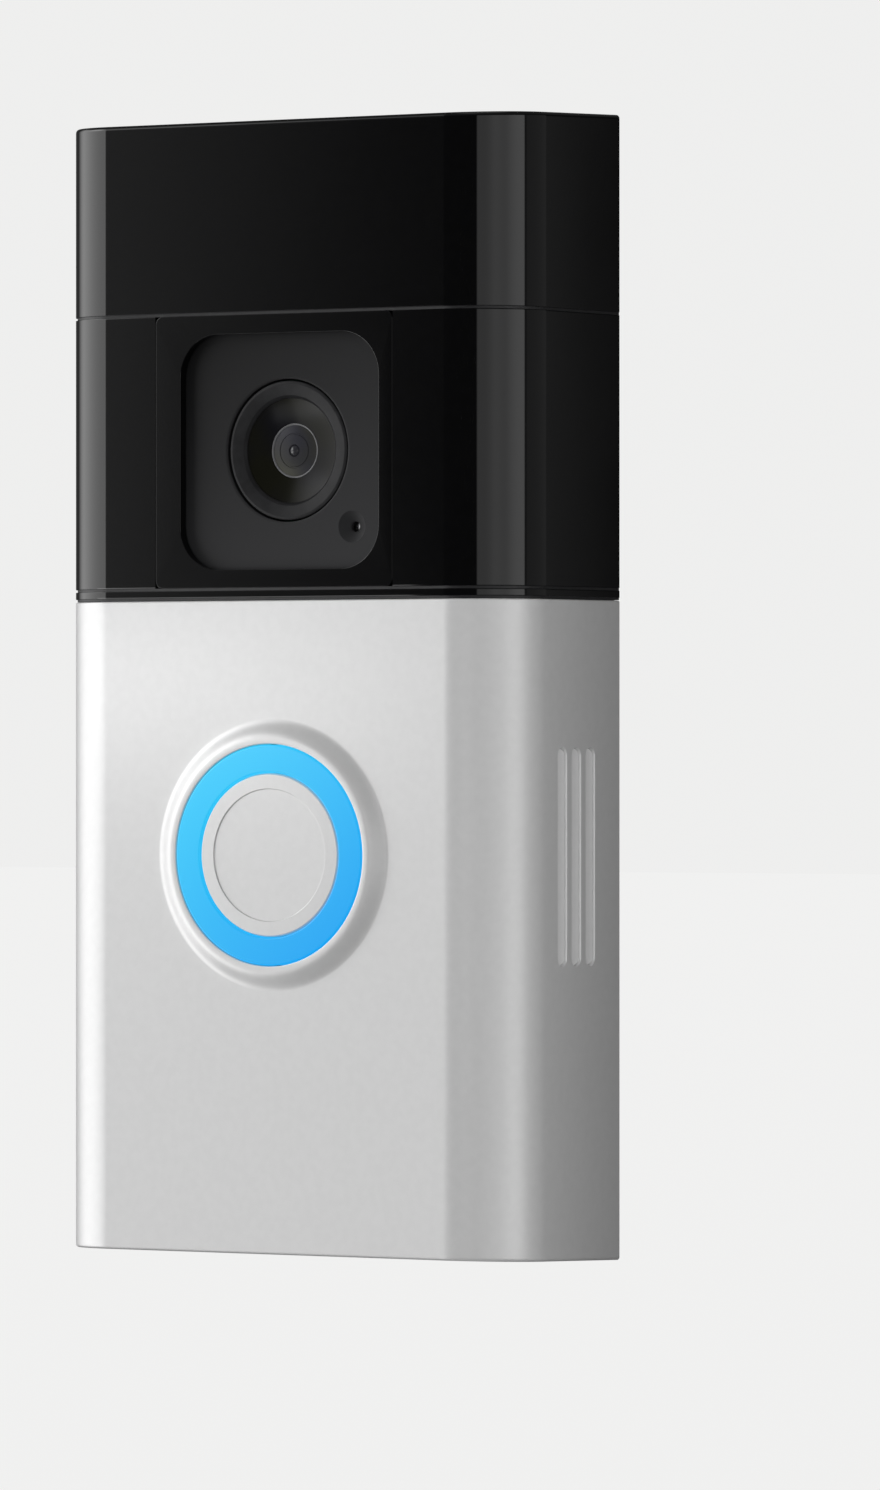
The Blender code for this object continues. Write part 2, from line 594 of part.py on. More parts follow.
def build_button(unit, button):
    axis = (0.0, BUTTON_Z)
    box("tactile_switch", (-2.3, 2.3), (-24.4, -23.4), (BUTTON_Z - 2.3, BUTTON_Z + 2.3), "chip_black", unit)
    dome = [(0, -25.45), (1.2, -25.45), (1.6, -25.2), (2.3, -24.7), (0, -24.7)]
    turned("button_dome", dome, axis, "Y", 24, False, "dome_silicone", unit)
    pin("ring_board", 13.2, (-23.1, -21.95), axis, "Y", 36, "board_green", unit)
    half = 0.8
    for number in range(RING_LAMPS):
        angle = 2.0 * math.pi * (number + 0.5) / RING_LAMPS
        x = RING_LAMP_R * math.cos(angle)
        z = BUTTON_Z + RING_LAMP_R * math.sin(angle)
        lamp_z = (z - half, z + half)
        box(f"ring_lamp_{number + 1}", (x - half, x + half), (-24.2, -23.4), lamp_z, "lamp_white", unit)
    ring = [
        (RING_INNER_R, -28.7),
        (RING_INNER_R + 0.25, -28.95),
        (RING_OUTER_R - 0.25, -28.95),
        (RING_OUTER_R, -28.7),
        (RING_OUTER_R, -24.6),
        (RING_INNER_R, -24.6),
    ]
    turned("light_ring", ring, axis, "Y", ROUND_STEPS, True, "light_ring", unit)
    cap = [
        (0, CAP_FRONT_Y + CAP_DISH_DEPTH),
        (CAP_DISH_R, CAP_FRONT_Y + CAP_DISH_DEPTH),
        (CAP_DISH_R + 0.15, CAP_FRONT_Y),
        (CAP_R - 0.4, CAP_FRONT_Y),
        (CAP_R, CAP_FRONT_Y + 0.4),
        (CAP_R, -25.4),
        (7.7, -25.4),
        (7.7, -26.9),
        (1.8, -26.9),
        (1.8, -25.75),
        (0, -25.75),
    ]
    turned("button_cap", cap, axis, "Y", ROUND_STEPS, False, "silver_paint", button)


def build_speaker(unit):
    """The speaker stands beside the battery bay and faces the slots in the right side."""
    speaker = box("speaker_frame", SPEAKER_X, SPEAKER_Y, SPEAKER_Z, "chip_black", unit)
    pocket = box(
        "cut_speaker_pocket",
        (SPEAKER_X[0] + SPEAKER_RIM, SPEAKER_X[1] + 2.0),
        (SPEAKER_Y[0] + SPEAKER_RIM, SPEAKER_Y[1] - SPEAKER_RIM),
        (SPEAKER_Z[0] + SPEAKER_RIM, SPEAKER_Z[1] - SPEAKER_RIM),
    )
    cut(speaker, pocket)
    box("speaker_magnet", (23.15, 24.5), (-15.6, -11.4), (-24.4, -13.3), "shield_steel", unit)
    middle_y = 0.5 * (SPEAKER_Y[0] + SPEAKER_Y[1])
    middle_z = 0.5 * (SPEAKER_Z[0] + SPEAKER_Z[1])
    corners = ((-1, -1), (1, -1), (1, 1), (-1, 1))
    bm = bmesh.new()
    loops = []
    # (x, half size along Y, half size along Z) of each loop of the dished cone
    for x, half_y, half_z in ((25.9, 3.5, 11.4), (25.0, 1.6, 9.4), (25.4, 1.4, 9.2), (26.3, 3.4, 11.3)):
        loops.append([bm.verts.new((x, middle_y + a * half_y, middle_z + b * half_z)) for a, b in corners])
    for first, second in zip(loops, loops[1:] + loops[:1]):
        for i in range(4):
            j = (i + 1) % 4
            bm.faces.new((first[i], first[j], second[j], second[i]))
    mesh_object("speaker_cone", bm, "speaker_cone", unit)
    mesh_z = (SPEAKER_Z[0] - 0.5, SPEAKER_Z[1] + 0.5)
    box("speaker_mesh", (27.75, 28.25), SPEAKER_Y, mesh_z, "speaker_mesh", unit)


def build_setup_button(unit, setup):
    x, z = SETUP_PLACE
    box("setup_switch", (x - 1.8, x + 1.8), (-22.8, -22.0), (z - 1.8, z + 1.8), "chip_black", unit)
    profile = [(0, -26.0), (1.4, -26.0), (1.7, -25.7), (1.7, -24.3), (2.5, -24.3), (2.5, -23.7), (0, -23.7)]
    turned("setup_button", profile, SETUP_PLACE, "Y", 20, False, "setup_orange", setup)


# ---- faceplate ---------------------------------------------------------------------------------

def build_faceplate(plate):
    faceplate = loaf(
        "faceplate", 0.0, SHELL_BACK_Y, outer_bottom(0.0), level(PLATE_TOP_Z), "silver_paint", plate
    )
    hollow = loaf(
        "cut_plate_hollow", PLATE_WALL, SHELL_BACK_Y + 2.0, outer_bottom(PLATE_WALL), level(PLATE_TOP_Z + 3.0)
    )
    cut(faceplate, hollow)
    lip = box("add_lip", (-9.0, 9.0), (-27.2, -21.0), (-62.4, -58.9))
    add(faceplate, lip)
    for number, (x, z) in enumerate(SNAP_POSTS, 1):
        add(faceplate, pin(f"add_snap_post_{number}", 1.5, (-27.2, -24.0), (x, z), "Y", 12))
    battery_notch = box("cut_plate_battery", (-20.65, 20.65), (-21.9, 2.0), (-70.0, -58.0))
    head_pocket = box("cut_plate_head_pocket", (-3.0, 3.0), (-26.3, -20.0), (-70.0, -60.6))
    shank_slot = box("cut_plate_shank_slot", (-1.6, 1.6), (-25.3, -20.0), (-61.0, -57.0))
    cut(faceplate, battery_notch, head_pocket, shank_slot)
    for number in range(SLOT_COUNT):
        middle = SLOT_FIRST_Y + SLOT_PITCH * number
        span = (middle - 0.5 * SLOT_WIDTH, middle + 0.5 * SLOT_WIDTH)
        cut(faceplate, box(f"cut_side_slot_{number + 1}", (28.0, 33.0), span, SLOT_Z))
    axis = (0.0, BUTTON_Z)
    boss_profile = [
        (0, BOSS_FRONT_Y),
        (BOSS_TOP_R, BOSS_FRONT_Y),
        (BOSS_BASE_R, FRONT_Y - 0.05),
        (BOSS_BASE_R, FRONT_Y + 0.8),
        (0, FRONT_Y + 0.8),
    ]
    add(faceplate, turned("add_boss", boss_profile, axis, "Y", ROUND_STEPS))
    cut(faceplate, pin("cut_plate_hole", PLATE_HOLE_R, (-31.0, -24.0), axis, "Y", ROUND_STEPS))


# ---- battery -----------------------------------------------------------------------------------

def build_battery(unit, battery, latch):
    outer_x = (-BATTERY_HALF_WIDTH, BATTERY_HALF_WIDTH)
    case = box("battery_case", outer_x, BATTERY_Y, (BATTERY_SPLIT_Z, BATTERY_TOP_Z), "battery_case", battery)
    inner_x = BATTERY_HALF_WIDTH - BATTERY_WALL
    inner_y = (BATTERY_Y[0] + BATTERY_WALL, BATTERY_Y[1] - BATTERY_WALL)
    hollow_top = BATTERY_TOP_Z - BATTERY_WALL
    cut(case, box("cut_case_hollow", (-inner_x, inner_x), inner_y, (-70.0, hollow_top)))
    cell_x = inner_x - GAP
    cell_y = (inner_y[0] + GAP, inner_y[1] - GAP)
    box("battery_cell", (-cell_x, cell_x), cell_y, (-54.0, hollow_top - GAP), "cell_wrap", battery)
    box("battery_board", (-cell_x, cell_x), cell_y, (-56.4, -55.2), "board_green", battery)

    end_z = (BATTERY_LOW_Z, BATTERY_SPLIT_Z - GAP)
    end_cap = box("battery_end_cap", outer_x, BATTERY_Y, end_z, "battery_case", battery)
    latch_pocket = box(
        "cut_latch_pocket",
        (LATCH_X[0] - GAP, LATCH_X[1] + GAP),
        (LATCH_Y[0] - GAP, LATCH_Y[1] + GAP),
        (-70.0, -59.6),
    )
    socket_hole = box(
        "cut_socket_hole",
        (SOCKET_X[0] - GAP, SOCKET_X[1] + GAP),
        (SOCKET_Y[0] - GAP, SOCKET_Y[1] + GAP),
        (-70.0, -59.2),
    )
    cut(end_cap, latch_pocket, socket_hole)
    socket = box("charging_socket", SOCKET_X, SOCKET_Y, (-63.3, -59.5), "shield_steel", battery)
    mouth = box(
        "cut_socket_mouth",
        (SOCKET_X[0] + SOCKET_WALL, SOCKET_X[1] - SOCKET_WALL),
        (SOCKET_Y[0] + SOCKET_WALL, SOCKET_Y[1] - SOCKET_WALL),
        (-70.0, -60.0),
    )
    cut(socket, mouth)
    box("battery_latch", LATCH_X, LATCH_Y, (BATTERY_LOW_Z, -61.6), "setup_orange", latch)
    for number, x in enumerate((-6.0, 0.0, 6.0), 1):
        span = (x - 1.0, x + 1.0)
        box(f"battery_contact_{number}", span, (-16.0, -11.0), (3.9, 4.9), "contact_gold", unit)


# ---- security screw ----------------------------------------------------------------------------

def build_security_screw(retainer, screw):
    axis = (0.0, SCREW_Y)
    washer = [(2.3, -61.6), (2.3, -61.0), (1.5, -61.0), (1.5, -61.6)]
    turned("screw_retainer", washer, axis, "Z", 24, True, "screw_steel", retainer)
    profile = [
        (0, -63.3),
        (1.9, -63.3),
        (2.4, -62.9),
        (2.4, -61.9),
        (1.2, -61.9),
        (1.2, -53.0),
        (0.5, -52.0),
        (0, -52.0),
    ]
    body = turned("security_screw", profile, axis, "Z", 24, False, "screw_steel", screw)
    cut(body, pin("cut_screw_drive", 1.1, (-65.0, -62.4), axis, "Z", 6))


# ---- the assembly ------------------------------------------------------------------------------

def main():
    clear_scene()
    unit = body_frame("unit_frame")
    plate = body_frame("faceplate_frame", (0.0, FRONT_Y, BUTTON_Z), unit)
    button = body_frame("button_frame", (0.0, FRONT_Y, BUTTON_Z), unit)
    battery = body_frame("battery_frame", (0.0, -13.4, BATTERY_LOW_Z), unit)
    latch = body_frame("latch_frame", (0.0, -13.5, BATTERY_LOW_Z), battery)
    retainer = body_frame("retainer_frame", (0.0, SCREW_Y, -61.0), unit)
    screw = body_frame("screw_frame", (0.0, SCREW_Y, -62.0), retainer)
    setup = body_frame("setup_frame", (SETUP_PLACE[0], -25.0, SETUP_PLACE[1]), unit)

    build_bracket()
    build_chassis(unit)
    build_housing_screws(unit)
    build_upper_shells(unit)
    build_camera_panel(unit)
    build_camera(unit)
    build_boards(unit)
    build_terminals(unit)
    build_front_cover(unit)
    build_button(unit, button)
    build_speaker(unit)
    build_setup_button(unit, setup)
    build_faceplate(plate)
    build_battery(unit, battery, latch)
    build_security_screw(retainer, screw)


main()
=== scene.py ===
"""Looks of the video doorbell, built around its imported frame.

Lengths are in millimetres until a mesh is made, and MM turns them into metres.
X is to a visitor's right, Y goes into the wall and Z is up.
"""

import json
import math

import bmesh
import bpy
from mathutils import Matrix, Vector


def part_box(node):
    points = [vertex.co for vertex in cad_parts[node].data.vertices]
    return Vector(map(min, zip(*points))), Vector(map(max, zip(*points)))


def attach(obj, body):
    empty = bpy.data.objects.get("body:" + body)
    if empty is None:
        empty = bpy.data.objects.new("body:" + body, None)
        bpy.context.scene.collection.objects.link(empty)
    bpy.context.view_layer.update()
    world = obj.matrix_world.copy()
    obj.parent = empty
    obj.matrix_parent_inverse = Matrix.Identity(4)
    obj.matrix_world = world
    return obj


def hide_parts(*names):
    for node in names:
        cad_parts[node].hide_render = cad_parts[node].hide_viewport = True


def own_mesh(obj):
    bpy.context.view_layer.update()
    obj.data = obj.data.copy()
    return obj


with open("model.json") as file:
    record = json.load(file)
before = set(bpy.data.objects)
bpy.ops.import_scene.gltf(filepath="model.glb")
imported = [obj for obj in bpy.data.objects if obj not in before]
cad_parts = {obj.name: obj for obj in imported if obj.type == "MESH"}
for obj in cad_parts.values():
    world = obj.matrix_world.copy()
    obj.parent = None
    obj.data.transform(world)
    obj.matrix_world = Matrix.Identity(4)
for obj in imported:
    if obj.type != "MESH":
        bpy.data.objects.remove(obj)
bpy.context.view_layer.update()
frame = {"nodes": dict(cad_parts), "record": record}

MM = 0.001


def span(node):
    """The lowest and highest corner of a CAD node, in millimetres."""
    low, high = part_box(node)
    return low / MM, high / MM


# ---- sizes read from the frame -----------------------------------------------------------------

cap_low, cap_high = span("upper_cap")
housing_low, housing_high = span("camera_housing")
trim_low, trim_high = span("seam_trim")
panel_low, panel_high = span("camera_panel")
window_low, window_high = span("camera_window")
bezel_low, bezel_high = span("lens_bezel")
plate_low, plate_high = span("faceplate")
ring_low, ring_high = span("light_ring")
button_low, button_high = span("button_cap")

FRONT_Y = cap_low.y
SHELL_BACK_Y = cap_high.y
HALF_WIDTH_BACK = cap_high.x
HALF_HEIGHT_BACK = cap_high.z
HALF_WIDTH_FRONT = HALF_WIDTH_BACK - 0.47
HALF_HEIGHT_FRONT = HALF_HEIGHT_BACK - 0.8
CORNER_ACROSS = 8.1
CORNER_DEEP = 8.5
CORNER_STEPS = 30
SHELL_WALL = 1.8
PLATE_WALL = 1.6
REAR_CHAMFER = 0.25

BUTTON_Z = 0.5 * (ring_low.z + ring_high.z)
LENS = (0.5 * (bezel_low.x + bezel_high.x), 0.5 * (bezel_low.z + bezel_high.z))
WINDOW_X = 0.5 * (window_low.x + window_high.x)
WINDOW_Z = 0.5 * (window_low.z + window_high.z)
WINDOW_HALF = 0.5 * (window_high.x - window_low.x)
OPENING_HALF = WINDOW_HALF - 0.85
OPENING_RADIUS = 4.9
DIMPLE = (9.6, 17.8)
LENS_HOLE_R = 7.98
SEAM_EDGE = 0.06                # rounding of the edges at a seam
CLEAR = 2.0                     # how far a hollow runs past the shell that it opens
AHEAD_Y = -30.0                 # in front of the shell, where cutters for its front start
INSIDE_Y = -24.0                # and behind its wall, where they end


# ---- mesh helpers ------------------------------------------------------------------------------

def to_object(name, bm):
    """Turns a millimetre mesh into an object in metres, with its faces pointing out."""
    bmesh.ops.recalc_face_normals(bm, faces=bm.faces)
    bmesh.ops.scale(bm, vec=(MM, MM, MM), verts=bm.verts)
    mesh = bpy.data.meshes.new(name)
    bm.to_mesh(mesh)
    bm.free()
    thing = bpy.data.objects.new(name, mesh)
    bpy.context.scene.collection.objects.link(thing)
    return thing


def loft(name, loops, closed=False):
    """Joins loops of points, all with the same count. The ends are filled, or joined if closed."""
    bm = bmesh.new()
    rings = [[bm.verts.new(point) for point in loop] for loop in loops]
    pairs = list(zip(rings, rings[1:]))
    if closed:
        pairs.append((rings[-1], rings[0]))
    for first, second in pairs:
        for i in range(len(first)):
            j = (i + 1) % len(first)
            bm.faces.new((first[i], first[j], second[j], second[i]))
    if not closed:
        bm.faces.new(rings[0])
        bm.faces.new(rings[-1])
    return to_object(name, bm)


def block(name, x, y, z):
    """A box between two values on each axis, for cutting and joining."""
    loops = []
    for height in z:
        loops.append([(x[0], y[0], height), (x[1], y[0], height), (x[1], y[1], height), (x[0], y[1], height)])
    return loft(name, loops)


def rounded_rectangle(half_x, half_z, radius, centre_z=0.0, centre_x=0.0, steps=12):
    """Points (x, z) round a rectangle with rounded corners, always 4 * (steps + 1) of them."""
    points = []
    for sign_x, sign_z, start in ((1, 1, 0.0), (-1, 1, 90.0), (-1, -1, 180.0), (1, -1, 270.0)):
        for i in range(steps + 1):
            angle = math.radians(start + 90.0 * i / steps)
            px = centre_x + sign_x * (half_x - radius) + radius * math.cos(angle)
            pz = centre_z + sign_z * (half_z - radius) + radius * math.sin(angle)
            points.append((px, pz))
    return points


def rounded_path(points, radii, steps=6, closed=False):
    """A polyline whose corners are rounded. A corner with radius 0 stays sharp."""
    rounded = []
    count = len(points)
    for i, (point, radius) in enumerate(zip(points, radii)):
        here = Vector(point)
        is_end = not closed and i in (0, count - 1)
        if radius <= 0 or is_end:
            rounded.append(tuple(here))
            continue
        before = (Vector(points[i - 1]) - here).normalized()
        after = (Vector(points[(i + 1) % count]) - here).normalized()
        half = 0.5 * before.angle(after)
        reach = radius / math.tan(half)
        start = here + before * reach
        centre = here + (before + after).normalized() * (radius / math.sin(half))
        first = start - centre
        last = here + after * reach - centre
        sweep = first.angle(last)
        for k in range(steps + 1):
            t = k / steps
            mix = (first * math.sin((1 - t) * sweep) + last * math.sin(t * sweep)) / math.sin(sweep)
            rounded.append(tuple(centre + mix))
    return rounded


def turned(name, profile, centre, axis="Y", segments=128, closed=False):
    """A turned form from a profile of (radius, place along the axis)."""
    bm = bmesh.new()
    rings = []
    for radius, along in profile:
        ring = []
        for i in range(segments if radius > 1e-6 else 1):
            angle = 2.0 * math.pi * i / segments
            a = centre[0] + radius * math.cos(angle)
            b = centre[1] + radius * math.sin(angle)
            ring.append(bm.verts.new({"X": (along, a, b), "Y": (a, along, b), "Z": (a, b, along)}[axis]))
        rings.append(ring)
    pairs = list(zip(rings, rings[1:]))
    if closed:
        pairs.append((rings[-1], rings[0]))
    for first, second in pairs:
        for i in range(segments):
            j = (i + 1) % segments
            if len(first) == 1:
                bm.faces.new((first[0], second[i], second[j]))
            elif len(second) == 1:
                bm.faces.new((first[i], first[j], second[0]))
            else:
                bm.faces.new((first[i], first[j], second[j], second[i]))
    return to_object(name, bm)


def bar(name, radius, span_along, centre, axis="Y", segments=64):
    profile = [(0, span_along[0]), (radius, span_along[0]), (radius, span_along[1]), (0, span_along[1])]
    return turned(name, profile, centre, axis, segments)


def bake(thing):
    """Replaces an object's mesh with what its modifiers make of it."""
    bpy.context.view_layer.update()
    graph = bpy.context.evaluated_depsgraph_get()
    mesh = bpy.data.meshes.new_from_object(thing.evaluated_get(graph))
    thing.modifiers.clear()
    thing.data = mesh


def carve(thing, cutters=(), additions=()):
    """Joins the additions, then takes away the cutters, and removes both."""
    for operation, tools in (("UNION", additions), ("DIFFERENCE", cutters)):
        for tool in tools:
            modifier = thing.modifiers.new(tool.name, "BOOLEAN")
            modifier.operation = operation
            modifier.solver = "EXACT"
            modifier.object = tool
    bake(thing)
    for tool in (*additions, *cutters):
        bpy.data.objects.remove(tool, do_unlink=True)
    return thing


def shade(thing, sharp=28.0):
    """Smooth shading with flat faces kept flat, and edges above the sharp angle kept crisp."""
    thing.data.shade_smooth()
    thing.data.set_sharp_from_angle(angle=math.radians(sharp))
    normals = thing.modifiers.new("weighted_normals", "WEIGHTED_NORMAL")
    normals.keep_sharp = True
    normals.weight = 100
    return thing


def finish_piece(thing, body, material, nodes=(), sharp=28.0):
    """Shades a piece, gives it its material, ties it to its body and hides the CAD nodes it stands for."""
    shade(thing, sharp)
    thing.data.materials.clear()
    thing.data.materials.append(material)
    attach(thing, body)
    if nodes:
        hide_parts(*nodes)
    return thing


# ---- the shell's form --------------------------------------------------------------------------

def level(z):
    return lambda y: z


def outer_top(inset):
    rise = (HALF_HEIGHT_BACK - HALF_HEIGHT_FRONT) / (SHELL_BACK_Y - FRONT_Y)
    return lambda y: HALF_HEIGHT_FRONT + rise * (y - FRONT_Y) - inset


def outer_bottom(inset):
    top = outer_top(inset)
    return lambda y: -top(y)


def plan_outline(inset, back_y, chamfer=0.0):
    """Points (x, y) from the left rear edge, round the front, to the right rear edge."""
    centre_x = HALF_WIDTH_FRONT - CORNER_ACROSS
    centre_y = FRONT_Y + CORNER_DEEP
    spread = (HALF_WIDTH_BACK - HALF_WIDTH_FRONT) / (SHELL_BACK_Y - centre_y)
    rear = HALF_WIDTH_FRONT + spread * (back_y - centre_y) - inset
    right = []
    for i in range(CORNER_STEPS + 1):
        angle = 0.5 * math.pi * i / CORNER_STEPS
        px = centre_x + (CORNER_ACROSS - inset) * math.sin(angle)
        py = centre_y - (CORNER_DEEP - inset) * math.cos(angle)
        right.append((px, py))
    right.append((rear - spread * chamfer, back_y - chamfer))
    if chamfer > 0:
        right.append((rear - chamfer, back_y))
    left = [(-px, py) for px, py in reversed(right)]
    return left + right


def loaf(name, inset, back_y, low, high, round_low=0.0, round_high=0.0, chamfer=0.0, steps=5):
    """The plan outline raised from low(y) to high(y), with rounded lower and upper edges."""
    rows = []
    for k in range(steps + 1 if round_low > 0 else 1):
        angle = 0.5 * math.pi * (k / steps if round_low > 0 else 1.0)
        rows.append((round_low * (1 - math.sin(angle)), low, round_low * (1 - math.cos(angle))))
    if round_low > 0:
        rows.append((0.0, low, round_low + 0.1))      # keeps the face above the fillet flat
    if round_high > 0:
        rows.append((0.0, high, -round_high - 0.1))
    for k in range(steps + 1 if round_high > 0 else 1):
        angle = 0.5 * math.pi * (1.0 - k / steps if round_high > 0 else 1.0)
        rows.append((round_high * (1 - math.sin(angle)), high, -round_high * (1 - math.cos(angle))))
    loops = []
    for extra, height, shift in rows:
        outline = plan_outline(inset + extra, back_y, chamfer)
        loops.append([(px, py, height(py) + shift) for px, py in outline])
    return loft(name, loops)


# ---- materials ---------------------------------------------------------------------------------

def new_material(name, colour, roughness, metallic=0.0):
    material = bpy.data.materials.new(name)
    material.use_nodes = True
    shader = material.node_tree.nodes["Principled BSDF"]
    shader.inputs["Base Color"].default_value = (*colour, 1.0)
    shader.inputs["Roughness"].default_value = roughness
    shader.inputs["Metallic"].default_value = metallic
    return material, material.node_tree, shader


def surface_noise(tree, scale, detail=3.0):
    """A noise texture fixed to the piece, in cells of about one over scale metres."""
    place = tree.nodes.new("ShaderNodeTexCoord")
    noise = tree.nodes.new("ShaderNodeTexNoise")
    noise.inputs["Scale"].default_value = scale
    noise.inputs["Detail"].default_value = detail
    tree.links.new(place.outputs["Object"], noise.inputs["Vector"])
    return noise.outputs["Fac"]


def remap(tree, value, low, high):
    spread = tree.nodes.new("ShaderNodeMapRange")
    spread.inputs["From Min"].default_value = 0.3
    spread.inputs["From Max"].default_value = 0.7
    spread.inputs["To Min"].default_value = low
    spread.inputs["To Max"].default_value = high
    tree.links.new(value, spread.inputs["Value"])
    return spread.outputs["Result"]


def calculate(tree, operation, *values):
    """A math node. Each value is a socket or a number."""
    node = tree.nodes.new("ShaderNodeMath")
    node.operation = operation
    for socket, value in zip(node.inputs, values):
        if isinstance(value, (int, float)):
            socket.default_value = value
        else:
            tree.links.new(value, socket)
    return node.outputs[0]


def vary_colour(tree, shader, value, dark, light, start=0.35, end=0.65):
    ramp = tree.nodes.new("ShaderNodeValToRGB")
    ramp.color_ramp.elements[0].position = start
    ramp.color_ramp.elements[1].position = end
    ramp.color_ramp.elements[0].color = (*dark, 1.0)
    ramp.color_ramp.elements[1].color = (*light, 1.0)
    tree.links.new(value, ramp.inputs["Fac"])
    tree.links.new(ramp.outputs["Color"], shader.inputs["Base Color"])


def bump(tree, shader, value, depth):
    relief = tree.nodes.new("ShaderNodeBump")
    relief.inputs["Distance"].default_value = depth
    relief.inputs["Strength"].default_value = 1.0
    tree.links.new(value, relief.inputs["Height"])
    tree.links.new(relief.outputs["Normal"], shader.inputs["Normal"])


def moulded(
    name, colour, roughness, grain_scale, grain_depth,
    spread=0.04, tint=0.12, metallic=0.0, specular=0.5, ior=1.5,
):
    """A moulded or painted surface: fine grain, slow change of gloss and a little change of tone."""
    material, tree, shader = new_material(name, colour, roughness, metallic)
    shader.inputs["Specular IOR Level"].default_value = specular
    shader.inputs["IOR"].default_value = ior
    slow = surface_noise(tree, 60.0, 4.0)
    tree.links.new(remap(tree, slow, roughness - spread, roughness + spread), shader.inputs["Roughness"])
    dark = tuple(c * (1.0 - tint) for c in colour)
    light = tuple(min(1.0, c * (1.0 + tint)) for c in colour)
    vary_colour(tree, shader, surface_noise(tree, 900.0, 2.0), dark, light)
    bump(tree, shader, surface_noise(tree, grain_scale, 2.0), grain_depth)
    return material


def coated_glass(name, tone, specular, roughness):
    """Dark lens glass with a non-reflecting coat, with the coat's faint olive and violet reflections painted
    into its colour as random patches.
    """
    material, tree, shader = new_material(name, (tone, tone, tone), roughness)
    shader.inputs["Specular IOR Level"].default_value = specular
    # painted reflection: the coat's violet and olive tints, laid into the base colour
    violet_reflection, olive_reflection = (tone, tone, 1.25 * tone), (1.3 * tone, 1.3 * tone, 0.85 * tone)
    vary_colour(tree, shader, surface_noise(tree, 160.0, 1.0), violet_reflection, olive_reflection)
    slow = surface_noise(tree, 300.0, 2.0)
    tree.links.new(remap(tree, slow, 0.9 * roughness, 1.1 * roughness), shader.inputs["Roughness"])
    return material


def along(tree, direction, middle, reach):
    """Goes from 0 to 1 along a direction, from reach before a point to reach after it (millimetres)."""
    place = tree.nodes.new("ShaderNodeTexCoord")
    turn = tree.nodes.new("ShaderNodeVectorMath")
    turn.operation = "DOT_PRODUCT"
    turn.inputs[1].default_value = direction
    tree.links.new(place.outputs["Object"], turn.inputs[0])
    spread = tree.nodes.new("ShaderNodeMapRange")
    centre = Vector(direction).dot(Vector(middle))
    spread.inputs["From Min"].default_value = (centre - reach) * MM
    spread.inputs["From Max"].default_value = (centre + reach) * MM
    tree.links.new(turn.outputs["Value"], spread.inputs["Value"])
    return spread.outputs["Result"]


def window_material():
    """Smoked satin grey, with painted shade: deeper towards the upper left, paler towards the lower right."""
    material, tree, shader = new_material("window_grey", (0.02, 0.02, 0.021), 0.5)
    shader.inputs["Specular IOR Level"].default_value = 0.14
    # painted shade: the colour runs from dark at the upper left to pale at the lower right, where the light
    # falls
    painted_light_slope = along(tree, (0.5, 0.0, -0.87), (WINDOW_X, 0.0, WINDOW_Z), 1.2 * WINDOW_HALF)
    grain = surface_noise(tree, 9000.0, 2.0)
    # mostly the painted shade, with a tenth of fine grain
    mostly_painted_light = calculate(tree, "MULTIPLY", painted_light_slope, 0.9)
    mixed = calculate(tree, "ADD", mostly_painted_light, calculate(tree, "MULTIPLY", grain, 0.1))
    vary_colour(tree, shader, mixed, (0.005, 0.005, 0.0052), (0.031, 0.031, 0.0325), 0.0, 1.0)
    tree.links.new(remap(tree, surface_noise(tree, 60.0, 4.0), 0.46, 0.54), shader.inputs["Roughness"])
    bump(tree, shader, grain, 1e-6)
    return material


def light_ring_material():
    """A lit diffuser, with painted light in its glow: paler blue towards the upper left, where the light
    falls, deeper towards the lower right.
    """
    material, tree, shader = new_material("light_ring", (0.004, 0.04, 0.07), 0.3)
    # painted light: the glow fades from pale at the lit upper left to deep blue at the lower right
    painted_light_slope = along(tree, (0.62, 0.0, -0.78), (0.0, 0.0, BUTTON_Z), 12.0)
    ramp = tree.nodes.new("ShaderNodeValToRGB")
    ramp.color_ramp.elements[0].color = (0.030, 0.57, 0.92, 1.0)
    ramp.color_ramp.elements[1].color = (0.002, 0.36, 0.86, 1.0)
    tree.links.new(painted_light_slope, ramp.inputs["Fac"])
    tree.links.new(ramp.outputs["Color"], shader.inputs["Emission Color"])
    shader.inputs["Emission Strength"].default_value = 0.95
    return material


WEAVE_SCALE = 2.0 * math.pi * 100.0         # gives threads 0.5 mm apart


def woven_material(name, colour):
    """A fine acoustic mesh: a square weave of threads."""
    material, tree, shader = new_material(name, colour, 0.6)
    place = tree.nodes.new("ShaderNodeTexCoord")
    heights = []
    for direction in ("Y", "Z"):
        wave = tree.nodes.new("ShaderNodeTexWave")
        wave.bands_direction = direction
        wave.inputs["Scale"].default_value = WEAVE_SCALE
        tree.links.new(place.outputs["Object"], wave.inputs["Vector"])
        heights.append(wave.outputs["Fac"])
    cross = calculate(tree, "MULTIPLY", *heights)
    vary_colour(tree, shader, cross, tuple(0.25 * c for c in colour), colour)
    bump(tree, shader, cross, 0.0001)
    return material


def brushed(name, colour, roughness):
    """Turned or rolled metal with fine parallel marks."""
    material, tree, shader = new_material(name, colour, roughness, 1.0)
    place = tree.nodes.new("ShaderNodeTexCoord")
    stretch = tree.nodes.new("ShaderNodeMapping")
    stretch.inputs["Scale"].default_value = (1.0, 1.0, 22.0)
    noise = tree.nodes.new("ShaderNodeTexNoise")
    noise.inputs["Scale"].default_value = 600.0
    tree.links.new(place.outputs["Object"], stretch.inputs["Vector"])
    tree.links.new(stretch.outputs["Vector"], noise.inputs["Vector"])
    level_out = remap(tree, noise.outputs["Fac"], roughness - 0.07, roughness + 0.1)
    tree.links.new(level_out, shader.inputs["Roughness"])
    bump(tree, shader, noise.outputs["Fac"], 0.00001)
    return material


